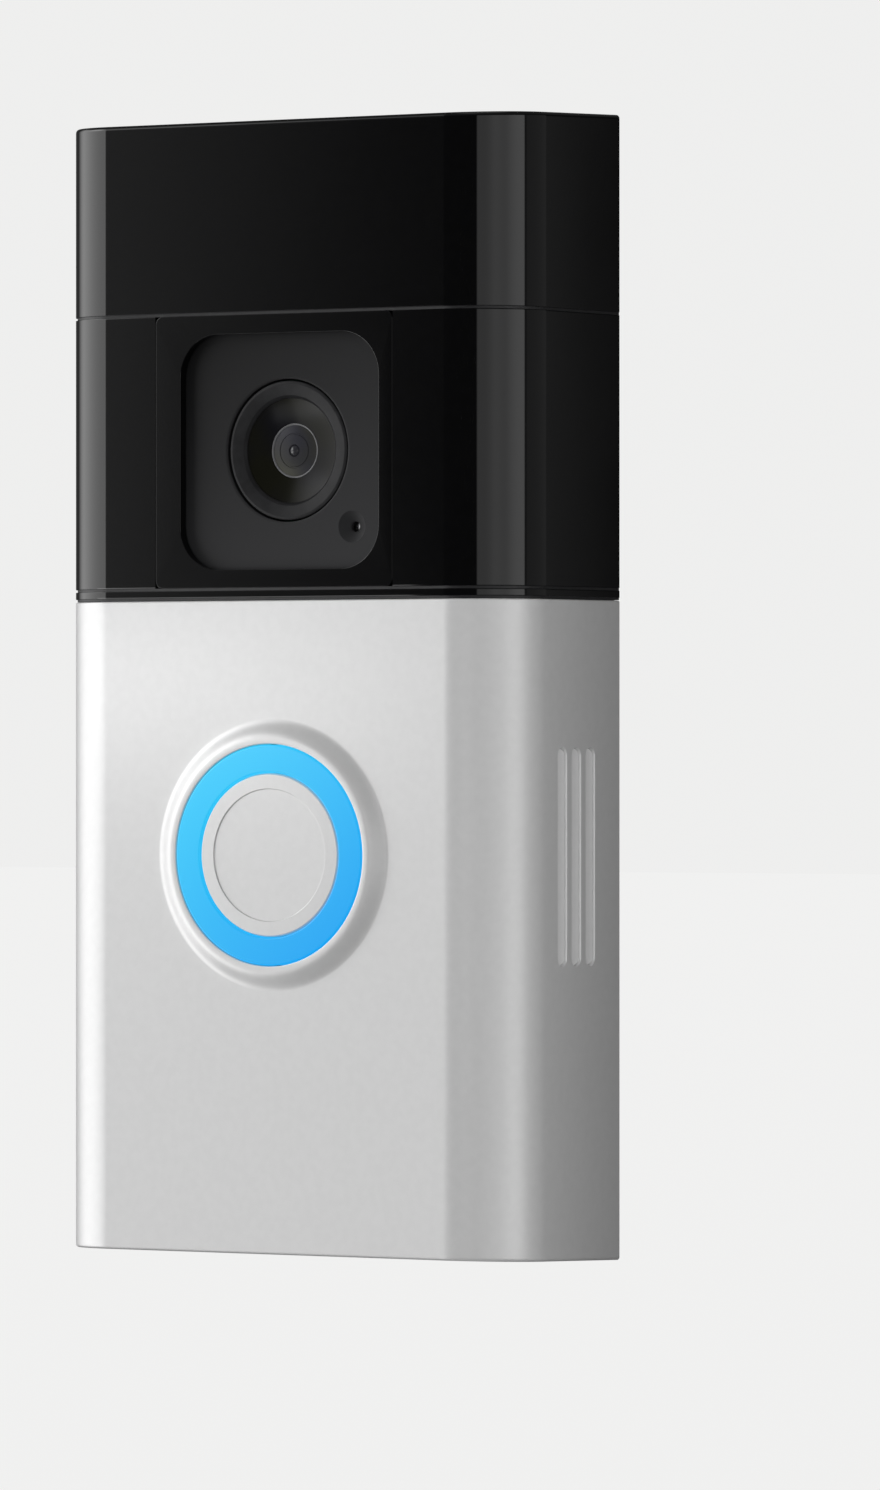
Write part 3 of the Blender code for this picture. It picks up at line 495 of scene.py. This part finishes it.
def board_material(name):
    """Green solder mask over copper tracks."""
    material, tree, shader = new_material(name, (0.012, 0.10, 0.045), 0.35)
    place = tree.nodes.new("ShaderNodeTexCoord")
    cells = tree.nodes.new("ShaderNodeTexVoronoi")
    cells.distance = "MANHATTAN"
    cells.inputs["Scale"].default_value = 420.0
    tree.links.new(place.outputs["Object"], cells.inputs["Vector"])
    vary_colour(tree, shader, cells.outputs["Distance"], (0.03, 0.19, 0.08), (0.010, 0.085, 0.04))
    bump(tree, shader, cells.outputs["Distance"], 0.00003)
    return material


MATERIALS = {
    "gloss_black": moulded("gloss_black", (0.0016, 0.0016, 0.0018), 0.055, 2500.0, 1e-7, 0.01, ior=1.58),
    "satin_black": moulded("satin_black", (0.016, 0.016, 0.017), 0.42, 9000.0, 2e-6),
    "window_grey": window_material(),
    "silver_paint": moulded(
        "silver_paint", (0.70, 0.70, 0.70), 0.38, 16000.0, 2e-7, 0.008, 0.012, metallic=0.38, specular=0.15
    ),
    "chassis_black": moulded("chassis_black", (0.022, 0.022, 0.023), 0.52, 6000.0, 6e-6),
    "bracket_black": moulded("bracket_black", (0.045, 0.045, 0.048), 0.58, 5000.0, 8e-6),
    "lens_metal": moulded("lens_metal", (0.018, 0.018, 0.019), 0.42, 9000.0, 1e-6, specular=0.14),
    "eye_metal": moulded("eye_metal", (0.13, 0.13, 0.135), 0.3, 9000.0, 1e-6),
    "chip_black": moulded("chip_black", (0.014, 0.014, 0.015), 0.5, 7000.0, 4e-6),
    "dome_silicone": moulded("dome_silicone", (0.62, 0.62, 0.60), 0.55, 5000.0, 3e-6),
    "lamp_white": moulded("lamp_white", (0.80, 0.79, 0.72), 0.35, 4000.0, 2e-6),
    "speaker_cone": moulded("speaker_cone", (0.028, 0.028, 0.030), 0.65, 4000.0, 1e-5),
    "battery_case": moulded("battery_case", (0.040, 0.040, 0.043), 0.48, 6000.0, 6e-6),
    "cell_wrap": moulded("cell_wrap", (0.06, 0.20, 0.36), 0.36, 700.0, 2e-5),
    "setup_orange": moulded("setup_orange", (0.80, 0.20, 0.02), 0.42, 6000.0, 3e-6),
    "flex_amber": moulded("flex_amber", (0.40, 0.16, 0.02), 0.3, 2000.0, 4e-6),
    "lens_glass": coated_glass("lens_glass", 0.006, 0.10, 0.18),
    "eye_glass": coated_glass("eye_glass", 0.030, 0.12, 0.25),
    "pupil_glass": coated_glass("pupil_glass", 0.030, 0.5, 0.12),
    "shield_steel": brushed("shield_steel", (0.58, 0.59, 0.60), 0.3),
    "screw_steel": brushed("screw_steel", (0.50, 0.50, 0.51), 0.28),
    "contact_gold": brushed("contact_gold", (0.78, 0.55, 0.22), 0.26),
    "board_green": board_material("board_green"),
    "speaker_mesh": woven_material("speaker_mesh", (0.42, 0.42, 0.42)),
    "light_ring": light_ring_material(),
}


# ---- black upper shells ------------------------------------------------------------------------

def build_upper_cap():
    edges = (SEAM_EDGE, 0.45, REAR_CHAMFER)
    cap = loaf("upper_cap_shell", 0.0, SHELL_BACK_Y, level(cap_low.z), outer_top(0.0), *edges, 6)
    hollow = loaf("cap_hollow", SHELL_WALL, 0.0, level(cap_low.z - CLEAR), outer_top(SHELL_WALL))
    carve(cap, [hollow])
    finish_piece(cap, "unit", MATERIALS["gloss_black"], ["upper_cap"])


def shell_band(name, low, high):
    """A level band of the shell between two heights, and the cutter that hollows it."""
    edges = (SEAM_EDGE, SEAM_EDGE, REAR_CHAMFER)
    band = loaf(name, 0.0, SHELL_BACK_Y, level(low), level(high), *edges, 3)
    return band, loaf(name + "_hollow", SHELL_WALL, 0.0, level(low - CLEAR), level(high + CLEAR))


def build_camera_housing():
    low, high = housing_low.z, housing_high.z
    housing, hollow = shell_band("camera_housing_shell", low, high)
    seat_half = panel_high.x + 0.06
    seat = block("panel_seat", (-seat_half, seat_half), (AHEAD_Y, window_low.y), (low - CLEAR, high + CLEAR))
    hole_half = WINDOW_HALF + 0.3
    window_hole = rounded_rectangle(hole_half, hole_half, OPENING_RADIUS, WINDOW_Z, WINDOW_X)
    hole = loft("window_hole", [[(px, y, pz) for px, pz in window_hole] for y in (AHEAD_Y, INSIDE_Y)])
    carve(housing, [hollow, seat, hole])
    finish_piece(housing, "unit", MATERIALS["gloss_black"], ["camera_housing"])


def build_seam_trim():
    trim, hollow = shell_band("seam_trim_band", trim_low.z, trim_high.z)
    carve(trim, [hollow])
    finish_piece(trim, "unit", MATERIALS["gloss_black"], ["seam_trim"])


def build_gaskets():
    """Dark seals that close the seams a little way under the surface."""
    seams = ((housing_high.z, cap_low.z), (trim_high.z, housing_low.z), (plate_high.z + 0.05, trim_low.z))
    for number, (low, high) in enumerate(seams, 1):
        gasket = loaf(f"seam_gasket_{number}", 0.2, SHELL_BACK_Y - 0.03, level(low), level(high))
        hollow = loaf("gasket_hollow", SHELL_WALL, 0.0, level(low - 1.0), level(high + 1.0))
        carve(gasket, [hollow])
        finish_piece(gasket, "unit", MATERIALS["satin_black"])


def framed_plate(name, outer, inner, front_y, back_y, edge, steps=4):
    """A plate with an opening. outer(e) and inner(e) give their outline moved in or out by e."""
    loops = [[(px, back_y, pz) for px, pz in outer(0.0)]]
    for k in range(steps + 1):
        angle = 0.5 * math.pi * k / steps
        y = front_y + edge * (1 - math.sin(angle))
        loops.append([(px, y, pz) for px, pz in outer(edge * (1 - math.cos(angle)))])
    for k in range(steps + 1):
        angle = 0.5 * math.pi * (1 - k / steps)
        y = front_y + edge * (1 - math.sin(angle))
        loops.append([(px, y, pz) for px, pz in inner(edge * (1 - math.cos(angle)))])
    loops.append([(px, back_y, pz) for px, pz in inner(0.0)])
    return loft(name, loops, closed=True)


def build_camera_panel():
    half_x = panel_high.x
    half_z = 0.5 * (panel_high.z - panel_low.z)
    middle = 0.5 * (panel_high.z + panel_low.z)

    def outer(move):
        return rounded_rectangle(half_x - move, half_z - move, 0.9 - move, middle)

    def inner(move):
        half = OPENING_HALF + move
        return rounded_rectangle(half, half, OPENING_RADIUS + move, WINDOW_Z, WINDOW_X)

    panel = framed_plate("camera_panel_frame", outer, inner, panel_low.y, panel_high.y, SEAM_EDGE)
    finish_piece(panel, "unit", MATERIALS["gloss_black"], ["camera_panel"])


def build_camera_window():
    front, back = window_low.y, window_high.y
    outline = rounded_rectangle(WINDOW_HALF, WINDOW_HALF, OPENING_RADIUS, WINDOW_Z, WINDOW_X)
    window = loft("camera_window_plate", [[(px, y, pz) for px, pz in outline] for y in (front, back)])
    hole_r, mouth_r = LENS_HOLE_R, LENS_HOLE_R + 0.32
    lens_profile = [
        (0, AHEAD_Y), (mouth_r, AHEAD_Y), (mouth_r, front - 0.01), (hole_r, front + 0.14), (hole_r, INSIDE_Y),
        (0, INSIDE_Y),
    ]
    lens_hole = turned("lens_hole", lens_profile, LENS, "Y", 128)
    dimple_profile = rounded_path(
        [(0, -27.4), (2.1, -27.4), (1.78, front), (0.55, front + 0.78), (0.5, INSIDE_Y), (0, INSIDE_Y)],
        [0, 0, 0, 0.25, 0, 0], 5,
    )
    dimple = turned("dimple", dimple_profile, DIMPLE, "Y", 64)
    carve(window, [lens_hole, dimple])
    finish_piece(window, "unit", MATERIALS["window_grey"], ["camera_window"])


# ---- camera lens -------------------------------------------------------------------------------

BEZEL_OUTER = 7.78
GLASS_R = 5.86                  # visible radius of the front glass
EYE_R = 3.1                     # thin bright ring round the inner lens
INNER_LENS_R = 2.83
PUPIL_R = 0.6
DISH = 0.9                      # how much the front glass falls from its rim to its middle
LENS_BACK_Y = -23.9             # where the glasses end, inside the housing


def cap_curve(radius, rim_y, rise):
    """The y of a shallow spherical cap at each distance from its axis. A negative rise is a dish."""
    curve = (radius**2 + rise**2) / (2 * abs(rise))
    side = math.copysign(1.0, rise)
    return lambda r: rim_y - rise + side * (curve - math.sqrt(curve**2 - r**2))


def build_lens():
    front = bezel_low.y
    profile = rounded_path(
        [
            (BEZEL_OUTER, front + 0.05),
            (BEZEL_OUTER, bezel_high.y),
            (GLASS_R, bezel_high.y),
            (GLASS_R, front + 0.62),
            (GLASS_R + 0.3, front + 0.3),
            (BEZEL_OUTER - 0.35, front),
        ],
        [0.16, 0, 0, 0.1, 0.2, 0.2],
        4,
        closed=True,
    )
    bezel = turned("lens_bezel_ring", profile, LENS, "Y", 128, closed=True)
    finish_piece(bezel, "unit", MATERIALS["lens_metal"], ["lens_bezel"], 40.0)

    # the glass is a dish that falls from the bezel to the eye in its middle
    rim_y = front + 0.7
    dish_y = cap_curve(GLASS_R, rim_y, -DISH)
    outer_r = GLASS_R - 0.02
    radii = [outer_r + (EYE_R - outer_r) * k / 14 for k in range(15)]
    glass = [(radius, dish_y(radius)) for radius in radii]
    glass = [(outer_r, LENS_BACK_Y), *glass, (EYE_R - 0.02, LENS_BACK_Y)]
    dish = turned("front_lens_glass", glass, LENS, "Y", 128, closed=True)
    finish_piece(dish, "unit", MATERIALS["lens_glass"], ["front_lens"], 40.0)

    eye_y = dish_y(EYE_R)
    rim_outer, rim_inner = EYE_R - 0.05, INNER_LENS_R + 0.02
    rim = rounded_path(
        [
            (rim_outer, eye_y - 0.05),
            (rim_outer, LENS_BACK_Y),
            (rim_inner, LENS_BACK_Y),
            (rim_inner, eye_y + 0.08),
        ],
        [0.05, 0, 0, 0.05], 4, closed=True,
    )
    eye_rim = turned("lens_eye_rim", rim, LENS, "Y", 96, closed=True)
    finish_piece(eye_rim, "unit", MATERIALS["eye_metal"], (), 40.0)

    inner_y = cap_curve(INNER_LENS_R, eye_y + 0.12, 0.3)
    # (radius, how far the glass is sunk below its curve) from the pupil's rim out
    rings = (
        (0.62, 0.15), (0.7, 0.02), (1.3, 0.0), (1.78, 0.0), (1.82, 0.07),
        (1.94, 0.07), (1.98, 0.0), (2.3, 0.0), (INNER_LENS_R, 0.0),
    )
    inner = [(radius, inner_y(radius) + sink) for radius, sink in rings]
    inner += [(INNER_LENS_R, LENS_BACK_Y), (rings[0][0], LENS_BACK_Y)]
    eye = turned("inner_lens_glass", inner, LENS, "Y", 96, closed=True)
    finish_piece(eye, "unit", MATERIALS["eye_glass"], (), 50.0)

    pupil_y = cap_curve(PUPIL_R, inner_y(PUPIL_R) + 0.1, 0.28)
    drop = [(0.1 * k, pupil_y(0.1 * k)) for k in range(7)] + [(PUPIL_R, LENS_BACK_Y), (0.0, LENS_BACK_Y)]
    pupil = turned("pupil_lens_glass", drop, LENS, "Y", 48)
    finish_piece(pupil, "unit", MATERIALS["pupil_glass"], (), 50.0)


# ---- faceplate ---------------------------------------------------------------------------------

BOSS_REACH = 16.0
BOSS_SEGMENTS = 160
SNAP_POSTS = ((-19.5, 5.0), (19.5, 5.0), (-19.5, -50.0), (19.5, -50.0))


def build_faceplate():
    top = plate_high.z
    plate = loaf(
        "faceplate_shell", 0.0, SHELL_BACK_Y, outer_bottom(0.0), level(top), 0.35, 0.22, REAR_CHAMFER, 6
    )
    hollow = loaf("plate_hollow", PLATE_WALL, 0.0, outer_bottom(PLATE_WALL), level(top + 3.0))
    carve(plate, [hollow])
    lip = block("plate_lip", (-9.0, 9.0), (-27.2, -21.0), (-62.4, -58.9))
    posts = [bar(f"snap_post_{i}", 1.5, (-27.2, -24.0), place, "Y", 24) for i, place in enumerate(SNAP_POSTS)]
    notch = block("battery_notch", (-20.65, 20.65), (-21.9, 2.0), (-70.0, -58.0))
    head_pocket = block("head_pocket", (-3.0, 3.0), (-26.3, -20.0), (-70.0, -60.6))
    shank_slot = block("shank_slot", (-1.6, 1.6), (-25.3, -20.0), (-61.0, -57.0))
    slots = [build_slot_cutter(number) for number in range(SLOT_COUNT)]
    bore = bar("boss_bore", BOSS_REACH, (-31.0, -24.0), (0.0, BUTTON_Z), "Y", BOSS_SEGMENTS)
    carve(plate, [notch, head_pocket, shank_slot, *slots, bore], [lip, *posts])
    add_boss(plate)
    finish_piece(plate, "faceplate", MATERIALS["silver_paint"], ["faceplate"])


SLOT_COUNT = 3
SLOT_FIRST_Y = -16.3
SLOT_PITCH = 2.85
SLOT_HALF_WIDTH = 0.84
SLOT_HALF_HEIGHT = 12.05
SLOT_MIDDLE_Z = -18.85
SLAT_DEPTH = (0.95, 0.22)       # of the slanting floor, at its front and rear edges


def slot_outline(number, extra):
    middle_y = SLOT_FIRST_Y + SLOT_PITCH * number
    half_y = SLOT_HALF_WIDTH + extra
    return rounded_rectangle(half_y, SLOT_HALF_HEIGHT + extra, half_y - 0.01, SLOT_MIDDLE_Z, middle_y, 8)


def side_face_x(y):
    spread = (HALF_WIDTH_BACK - HALF_WIDTH_FRONT) / (SHELL_BACK_Y - FRONT_Y - CORNER_DEEP)
    return HALF_WIDTH_FRONT + spread * (y - FRONT_Y - CORNER_DEEP)


def build_slot_cutter(number):
    """A slot through the side wall, with a soft flared mouth."""
    face_x = side_face_x(SLOT_FIRST_Y + SLOT_PITCH * number)
    loops = []
    for depth, extra in ((3.0, 0.0), (0.24, 0.0), (0.14, 0.02), (0.06, 0.06), (0.01, 0.12), (-0.6, 0.8)):
        loops.append([(face_x - depth, py, pz) for py, pz in slot_outline(number, extra)])
    return loft(f"side_slot_{number}", loops)


def build_slot_slats():
    """Slats that close the side slots. Each has a slanting floor that turns towards the front."""
    for number in range(SLOT_COUNT):
        middle_y = SLOT_FIRST_Y + SLOT_PITCH * number
        face_x = side_face_x(middle_y)
        outline = slot_outline(number, -0.01)
        front_depth, rear_depth = SLAT_DEPTH
        floor = []
        for py, pz in outline:
            t = 0.5 + 0.5 * (py - middle_y) / SLOT_HALF_WIDTH
            floor.append((face_x - front_depth + (front_depth - rear_depth) * t, py, pz))
        back = [(face_x - 1.5, py, pz) for py, pz in outline]
        slat = loft(f"side_slat_{number + 1}", [back, floor])
        finish_piece(slat, "faceplate", MATERIALS["silver_paint"], (), 40.0)


def add_boss(plate):
    """Replaces the wall of the bored hole with the raised boss round the button."""
    inner_y = FRONT_Y + PLATE_WALL
    base_r, top_r, hole_r = 15.25, 13.0, 12.38
    height = FRONT_Y - plate_low.y - 0.02
    profile = [(BOSS_REACH, FRONT_Y), (base_r, FRONT_Y)]
    for k in range(1, 12):
        t = k / 12
        profile.append((base_r + (top_r - base_r) * t, FRONT_Y - height * t * t * (3 - 2 * t)))
    rim = [(top_r, FRONT_Y - height), (hole_r, FRONT_Y - height), (hole_r, inner_y), (BOSS_REACH, inner_y)]
    profile += rounded_path(rim, [0, 0.12, 0.1, 0], 5)
    bm = bmesh.new()
    bm.from_mesh(plate.data)
    bmesh.ops.scale(bm, vec=(1 / MM, 1 / MM, 1 / MM), verts=bm.verts)

    def on_bore(vert):
        return abs(math.hypot(vert.co.x, vert.co.z - BUTTON_Z) - BOSS_REACH) < 0.01

    walls = [f for f in bm.faces if all(on_bore(v) for v in f.verts)]
    bmesh.ops.delete(bm, geom=walls, context="FACES_ONLY")
    rings = []
    for radius, y in profile:
        ring = []
        for i in range(BOSS_SEGMENTS):
            angle = 2.0 * math.pi * i / BOSS_SEGMENTS
            ring.append(bm.verts.new((radius * math.cos(angle), y, BUTTON_Z + radius * math.sin(angle))))
        rings.append(ring)
    for first, second in zip(rings, rings[1:]):
        for i in range(BOSS_SEGMENTS):
            j = (i + 1) % BOSS_SEGMENTS
            bm.faces.new((first[i], first[j], second[j], second[i]))
    bmesh.ops.remove_doubles(bm, verts=bm.verts, dist=0.003)
    bmesh.ops.recalc_face_normals(bm, faces=bm.faces)
    bmesh.ops.scale(bm, vec=(MM, MM, MM), verts=bm.verts)
    bm.to_mesh(plate.data)
    bm.free()


# ---- button and light ring ---------------------------------------------------------------------

def build_light_ring():
    axis = (0.0, BUTTON_Z)
    outer, inner = 12.3, 9.2
    front, back = ring_low.y, ring_high.y
    profile = rounded_path(
        [(inner, front), (outer, front), (outer, back), (inner, back)],
        [0.2, 0.2, 0, 0], 5, closed=True,
    )
    ring = turned("light_ring_diffuser", profile, axis, "Y", 160, closed=True)
    finish_piece(ring, "unit", MATERIALS["light_ring"], ["light_ring"], 40.0)


def build_button_cap():
    axis = (0.0, BUTTON_Z)
    outer = 9.13
    front, back = button_low.y, button_high.y
    profile = rounded_path(
        [
            (0, front + 0.15),
            (7.34, front + 0.15),
            (7.42, front),
            (outer - 0.15, front + 0.02),
            (outer, front + 0.25),
            (outer, -25.4),
            (7.7, -25.4),
            (7.7, -26.9),
            (1.8, -26.9),
            (1.8, back),
            (0, back),
        ],
        [0, 0.02, 0.04, 0.12, 0.2, 0.1, 0.1, 0.3, 0.3, 0.2, 0],
        4,
    )
    cap = turned("button_cap_disc", profile, axis, "Y", 128)
    finish_piece(cap, "button", MATERIALS["silver_paint"], ["button_cap"], 30.0)


# ---- the rest of the CAD nodes, with softened edges ------------------------------------------

# body of each CAD node, and the record's slot of each CAD node
NODE_BODY = {n: body for body, names in frame["record"]["behaviour"]["bodies"].items() for n in names}
NODE_SLOT = {entry["node"]: entry["material_slot"] for entry in frame["record"]["subparts"]}

# how far the edges of a node are rounded, where it isn't the usual 0.12
EDGE_WIDTHS = {
    "wall_bracket": 0.35,
    "chassis": 0.2,
    "front_cover": 0.15,
    "battery_case": 0.5,
    "battery_end_cap": 0.25,
}


def soften(node, width, segments=2, sharp=28.0):
    """A copy of a CAD node with its flat faces made whole again and its edges rounded."""
    source = frame["nodes"][node]
    bm = bmesh.new()
    bm.from_mesh(source.data)
    bmesh.ops.remove_doubles(bm, verts=bm.verts, dist=2e-6)
    bmesh.ops.dissolve_limit(
        bm, angle_limit=math.radians(1.0), verts=bm.verts, edges=bm.edges, use_dissolve_boundaries=False
    )
    mesh = bpy.data.meshes.new(node + "_soft")
    bm.to_mesh(mesh)
    bm.free()
    piece = bpy.data.objects.new(node + "_soft", mesh)
    bpy.context.scene.collection.objects.link(piece)
    edge = piece.modifiers.new("edge", "BEVEL")
    edge.width = width * MM
    edge.segments = segments
    edge.limit_method = "ANGLE"
    edge.angle_limit = math.radians(34.0)
    edge.use_clamp_overlap = True
    bake(piece)
    return finish_piece(piece, NODE_BODY[node], MATERIALS[NODE_SLOT[node]], [node], sharp)


def squash_dome(dome):
    """Gives the silicone dome its own copy of its mesh."""
    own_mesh(dome)


def soften_all(done):
    for node in sorted(frame["nodes"]):
        if node not in done:
            piece = soften(node, EDGE_WIDTHS.get(node, 0.12))
            if node == "button_dome":
                squash_dome(piece)


# ---- stage, light and camera -------------------------------------------------------------------

FLOOR_Z = -150.0


def build_floor():
    bm = bmesh.new()
    bmesh.ops.create_grid(bm, x_segments=1, y_segments=1, size=8.0)
    mesh = bpy.data.meshes.new("floor")
    bm.to_mesh(mesh)
    bm.free()
    floor = bpy.data.objects.new("floor", mesh)
    bpy.context.scene.collection.objects.link(floor)
    floor.location.z = FLOOR_Z * MM
    floor.visible_diffuse = False
    floor.visible_glossy = False
    floor.visible_shadow = False
    material, tree, shader = new_material("floor_pale", (0.02, 0.02, 0.02), 0.9)
    shader.inputs["Emission Color"].default_value = (*BACKDROP, 1.0)
    shader.inputs["Emission Strength"].default_value = 0.99
    vary_colour(tree, shader, surface_noise(tree, 3.0, 3.0), (0.018, 0.018, 0.018), (0.022, 0.022, 0.022))
    # only its upper side shows, so that the object can also be seen from below
    side = tree.nodes.new("ShaderNodeNewGeometry")
    clear = tree.nodes.new("ShaderNodeBsdfTransparent")
    choose = tree.nodes.new("ShaderNodeMixShader")
    out = next(node for node in tree.nodes if node.type == "OUTPUT_MATERIAL")
    tree.links.new(side.outputs["Backfacing"], choose.inputs["Fac"])
    tree.links.new(shader.outputs[0], choose.inputs[1])
    tree.links.new(clear.outputs[0], choose.inputs[2])
    tree.links.new(choose.outputs[0], out.inputs["Surface"])
    mesh.materials.append(material)


# Soft boxes of the studio, in degrees. Azimuth 0 is straight in front of the door and grows to the
# right, and each box fades in and out between its pairs of angles.
# (azimuth fade in, azimuth fade out, elevation fade in, elevation fade out, brightness)
SOFT_BOXES = (
    ((-116, -88), (-36.9, -35.7), (-34, -20), (22, 36), 2.25),       # broad box on the left
    ((-100, -75), (-76, -40), (-34, -20), (22, 36), 0.4),            # brightest away from the front
    ((-160, -150), (-113, -84), (-20, -10), (12, 24), 0.06),         # its dim far side
    ((-38, -36.5), (-35.9, -31.5), (-20, -10), (12, 24), 0.42),      # and its faint near edge
    ((-84, -62), (-52, -37), (9, 18), (32, 50), 2.4),                # cards above and below that box
    ((-84, -62), (-52, -37), (-60, -40), (-18, -9), 1.0),
    ((24.5, 27), (50, 75), (-14, -8), (10, 15), 0.68),               # strip on the right, near end
    ((35, 95), (101, 104), (-13, -8), (10, 14), 1.36),               # and its bright far end
    ((103, 108), (144.9, 145.5), (-14, -9), (10, 15), 0.19),
    ((-60, -35), (5, 30), (46, 62), (80, 95), 0.2),                  # cards high above and far below
    ((-60, -35), (5, 30), (-95, -80), (-62, -46), 0.1),
    ((-250, -200), (200, 250), (-110, -100), (-80, -68), 0.5),       # panel underneath
    ((-250, -200), (200, 250), (66, 78), (100, 110), 0.6),           # overhead panel
    ((-250, -200), (200, 250), (14, 30), (100, 110), 0.09),          # soft surround above
    ((-250, -200), (200, 250), (-110, -100), (-30, -14), 0.06),      # and below
)
AMBIENT = 0.03
BACKDROP = (0.86, 0.86, 0.855)


def smooth_step(tree, value, pair):
    step = tree.nodes.new("ShaderNodeMapRange")
    step.interpolation_type = "SMOOTHSTEP"
    step.inputs["From Min"].default_value = math.radians(pair[0])
    step.inputs["From Max"].default_value = math.radians(pair[1])
    tree.links.new(value, step.inputs["Value"])
    return step.outputs["Result"]


def between(tree, value, first, last):
    """Rises to 1 within the first pair of angles and falls back to 0 within the last."""
    return calculate(tree, "SUBTRACT", smooth_step(tree, value, first), smooth_step(tree, value, last))


def build_world():
    """A light tent: a broad soft box on the left, a strip on the right and a dark gap between."""
    world = bpy.data.worlds.new("studio")
    bpy.context.scene.world = world
    world.use_nodes = True
    tree = world.node_tree
    tree.nodes.clear()
    place = tree.nodes.new("ShaderNodeTexCoord")
    parts = tree.nodes.new("ShaderNodeSeparateXYZ")
    tree.links.new(place.outputs["Generated"], parts.inputs["Vector"])
    front = calculate(tree, "MULTIPLY", parts.outputs["Y"], -1.0)
    azimuth = calculate(tree, "ARCTAN2", parts.outputs["X"], front)
    elevation = calculate(tree, "ARCSINE", parts.outputs["Z"])
    total = AMBIENT
    for left, right, low, high, brightness in SOFT_BOXES:
        across = between(tree, azimuth, left, right)
        up = between(tree, elevation, low, high)
        box = calculate(tree, "MULTIPLY", across, up)
        total = calculate(tree, "ADD", calculate(tree, "MULTIPLY", box, brightness), total)
    tent = tree.nodes.new("ShaderNodeBackground")
    tree.links.new(total, tent.inputs["Strength"])

    backdrop = tree.nodes.new("ShaderNodeBackground")
    backdrop.inputs["Color"].default_value = (*BACKDROP, 1.0)
    seen = tree.nodes.new("ShaderNodeLightPath")
    choose = tree.nodes.new("ShaderNodeMixShader")
    tree.links.new(seen.outputs["Is Camera Ray"], choose.inputs["Fac"])
    tree.links.new(tent.outputs[0], choose.inputs[1])
    tree.links.new(backdrop.outputs[0], choose.inputs[2])
    out = tree.nodes.new("ShaderNodeOutputWorld")
    tree.links.new(choose.outputs[0], out.inputs["Surface"])


def build_panel_light(name, size, energy, place, target, shows_in_gloss):
    """A flat light of a width and height, that points from its place to the target (millimetres)."""
    data = bpy.data.lights.new(name, "AREA")
    data.shape = "RECTANGLE"
    data.size = size[0] * MM
    data.size_y = size[1] * MM
    data.energy = energy
    panel = bpy.data.objects.new(name, data)
    bpy.context.scene.collection.objects.link(panel)
    panel.location = Vector(place) * MM
    panel.rotation_euler = (Vector(target) - Vector(place)).to_track_quat("-Z", "Y").to_euler()
    panel.visible_camera = False
    panel.visible_glossy = shows_in_gloss


def build_lights():
    """Near lights. Those that don't show in gloss only lift the matt part of a surface."""
    build_panel_light("side_strip", (4.0, 190.0), 0.0098, (52.0, -27.5, 0.0), (31.0, -27.5, 0.0), False)
    build_panel_light("seam_glow", (60.0, 13.0), 0.0046, (-52.0, -84.0, 1.5), (-8.0, -28.0, 1.5), True)
    build_panel_light("front_fill", (240.0, 240.0), 1.0, (90.0, -480.0, 0.0), (0.0, -28.0, 0.0), False)
    build_panel_light("rear_fill", (260.0, 260.0), 2.4, (-140.0, 420.0, 170.0), (0.0, 0.0, 0.0), False)


CAMERA_AZIMUTH = 32.01          # degrees to the visitor's right of straight on
CAMERA_DISTANCE = 1020.4        # from the front face, along the line of sight
CAMERA_RIGHT = 18.6             # how far the camera stands to the right of the shell's middle
CAMERA_DOWN = 6.44              # and how far below it
CAMERA_LENS = 221.37


def build_camera():
    data = bpy.data.cameras.new("camera")
    data.lens = CAMERA_LENS
    data.sensor_width = 36.0
    data.clip_end = 50.0
    camera = bpy.data.objects.new("camera", data)
    bpy.context.scene.collection.objects.link(camera)
    angle = math.radians(CAMERA_AZIMUTH)
    right = Vector((math.cos(angle), math.sin(angle), 0.0))
    back = Vector((math.sin(angle), -math.cos(angle), 0.0))
    place = Vector((0.0, FRONT_Y, -CAMERA_DOWN)) + CAMERA_RIGHT * right + CAMERA_DISTANCE * back
    camera.location = place * MM
    camera.rotation_euler = (math.radians(90.0), 0.0, angle)
    bpy.context.scene.camera = camera


build_floor()
build_world()
build_lights()
build_camera()
bpy.context.scene.view_settings.view_transform = "Standard"

build_upper_cap()
build_camera_housing()
build_seam_trim()
build_gaskets()
build_camera_panel()
build_camera_window()
build_lens()
build_faceplate()
build_slot_slats()
build_light_ring()
build_button_cap()
soften_all({
    "upper_cap", "camera_housing", "seam_trim", "camera_panel", "camera_window", "lens_bezel", "front_lens",
    "faceplate", "light_ring", "button_cap",
})
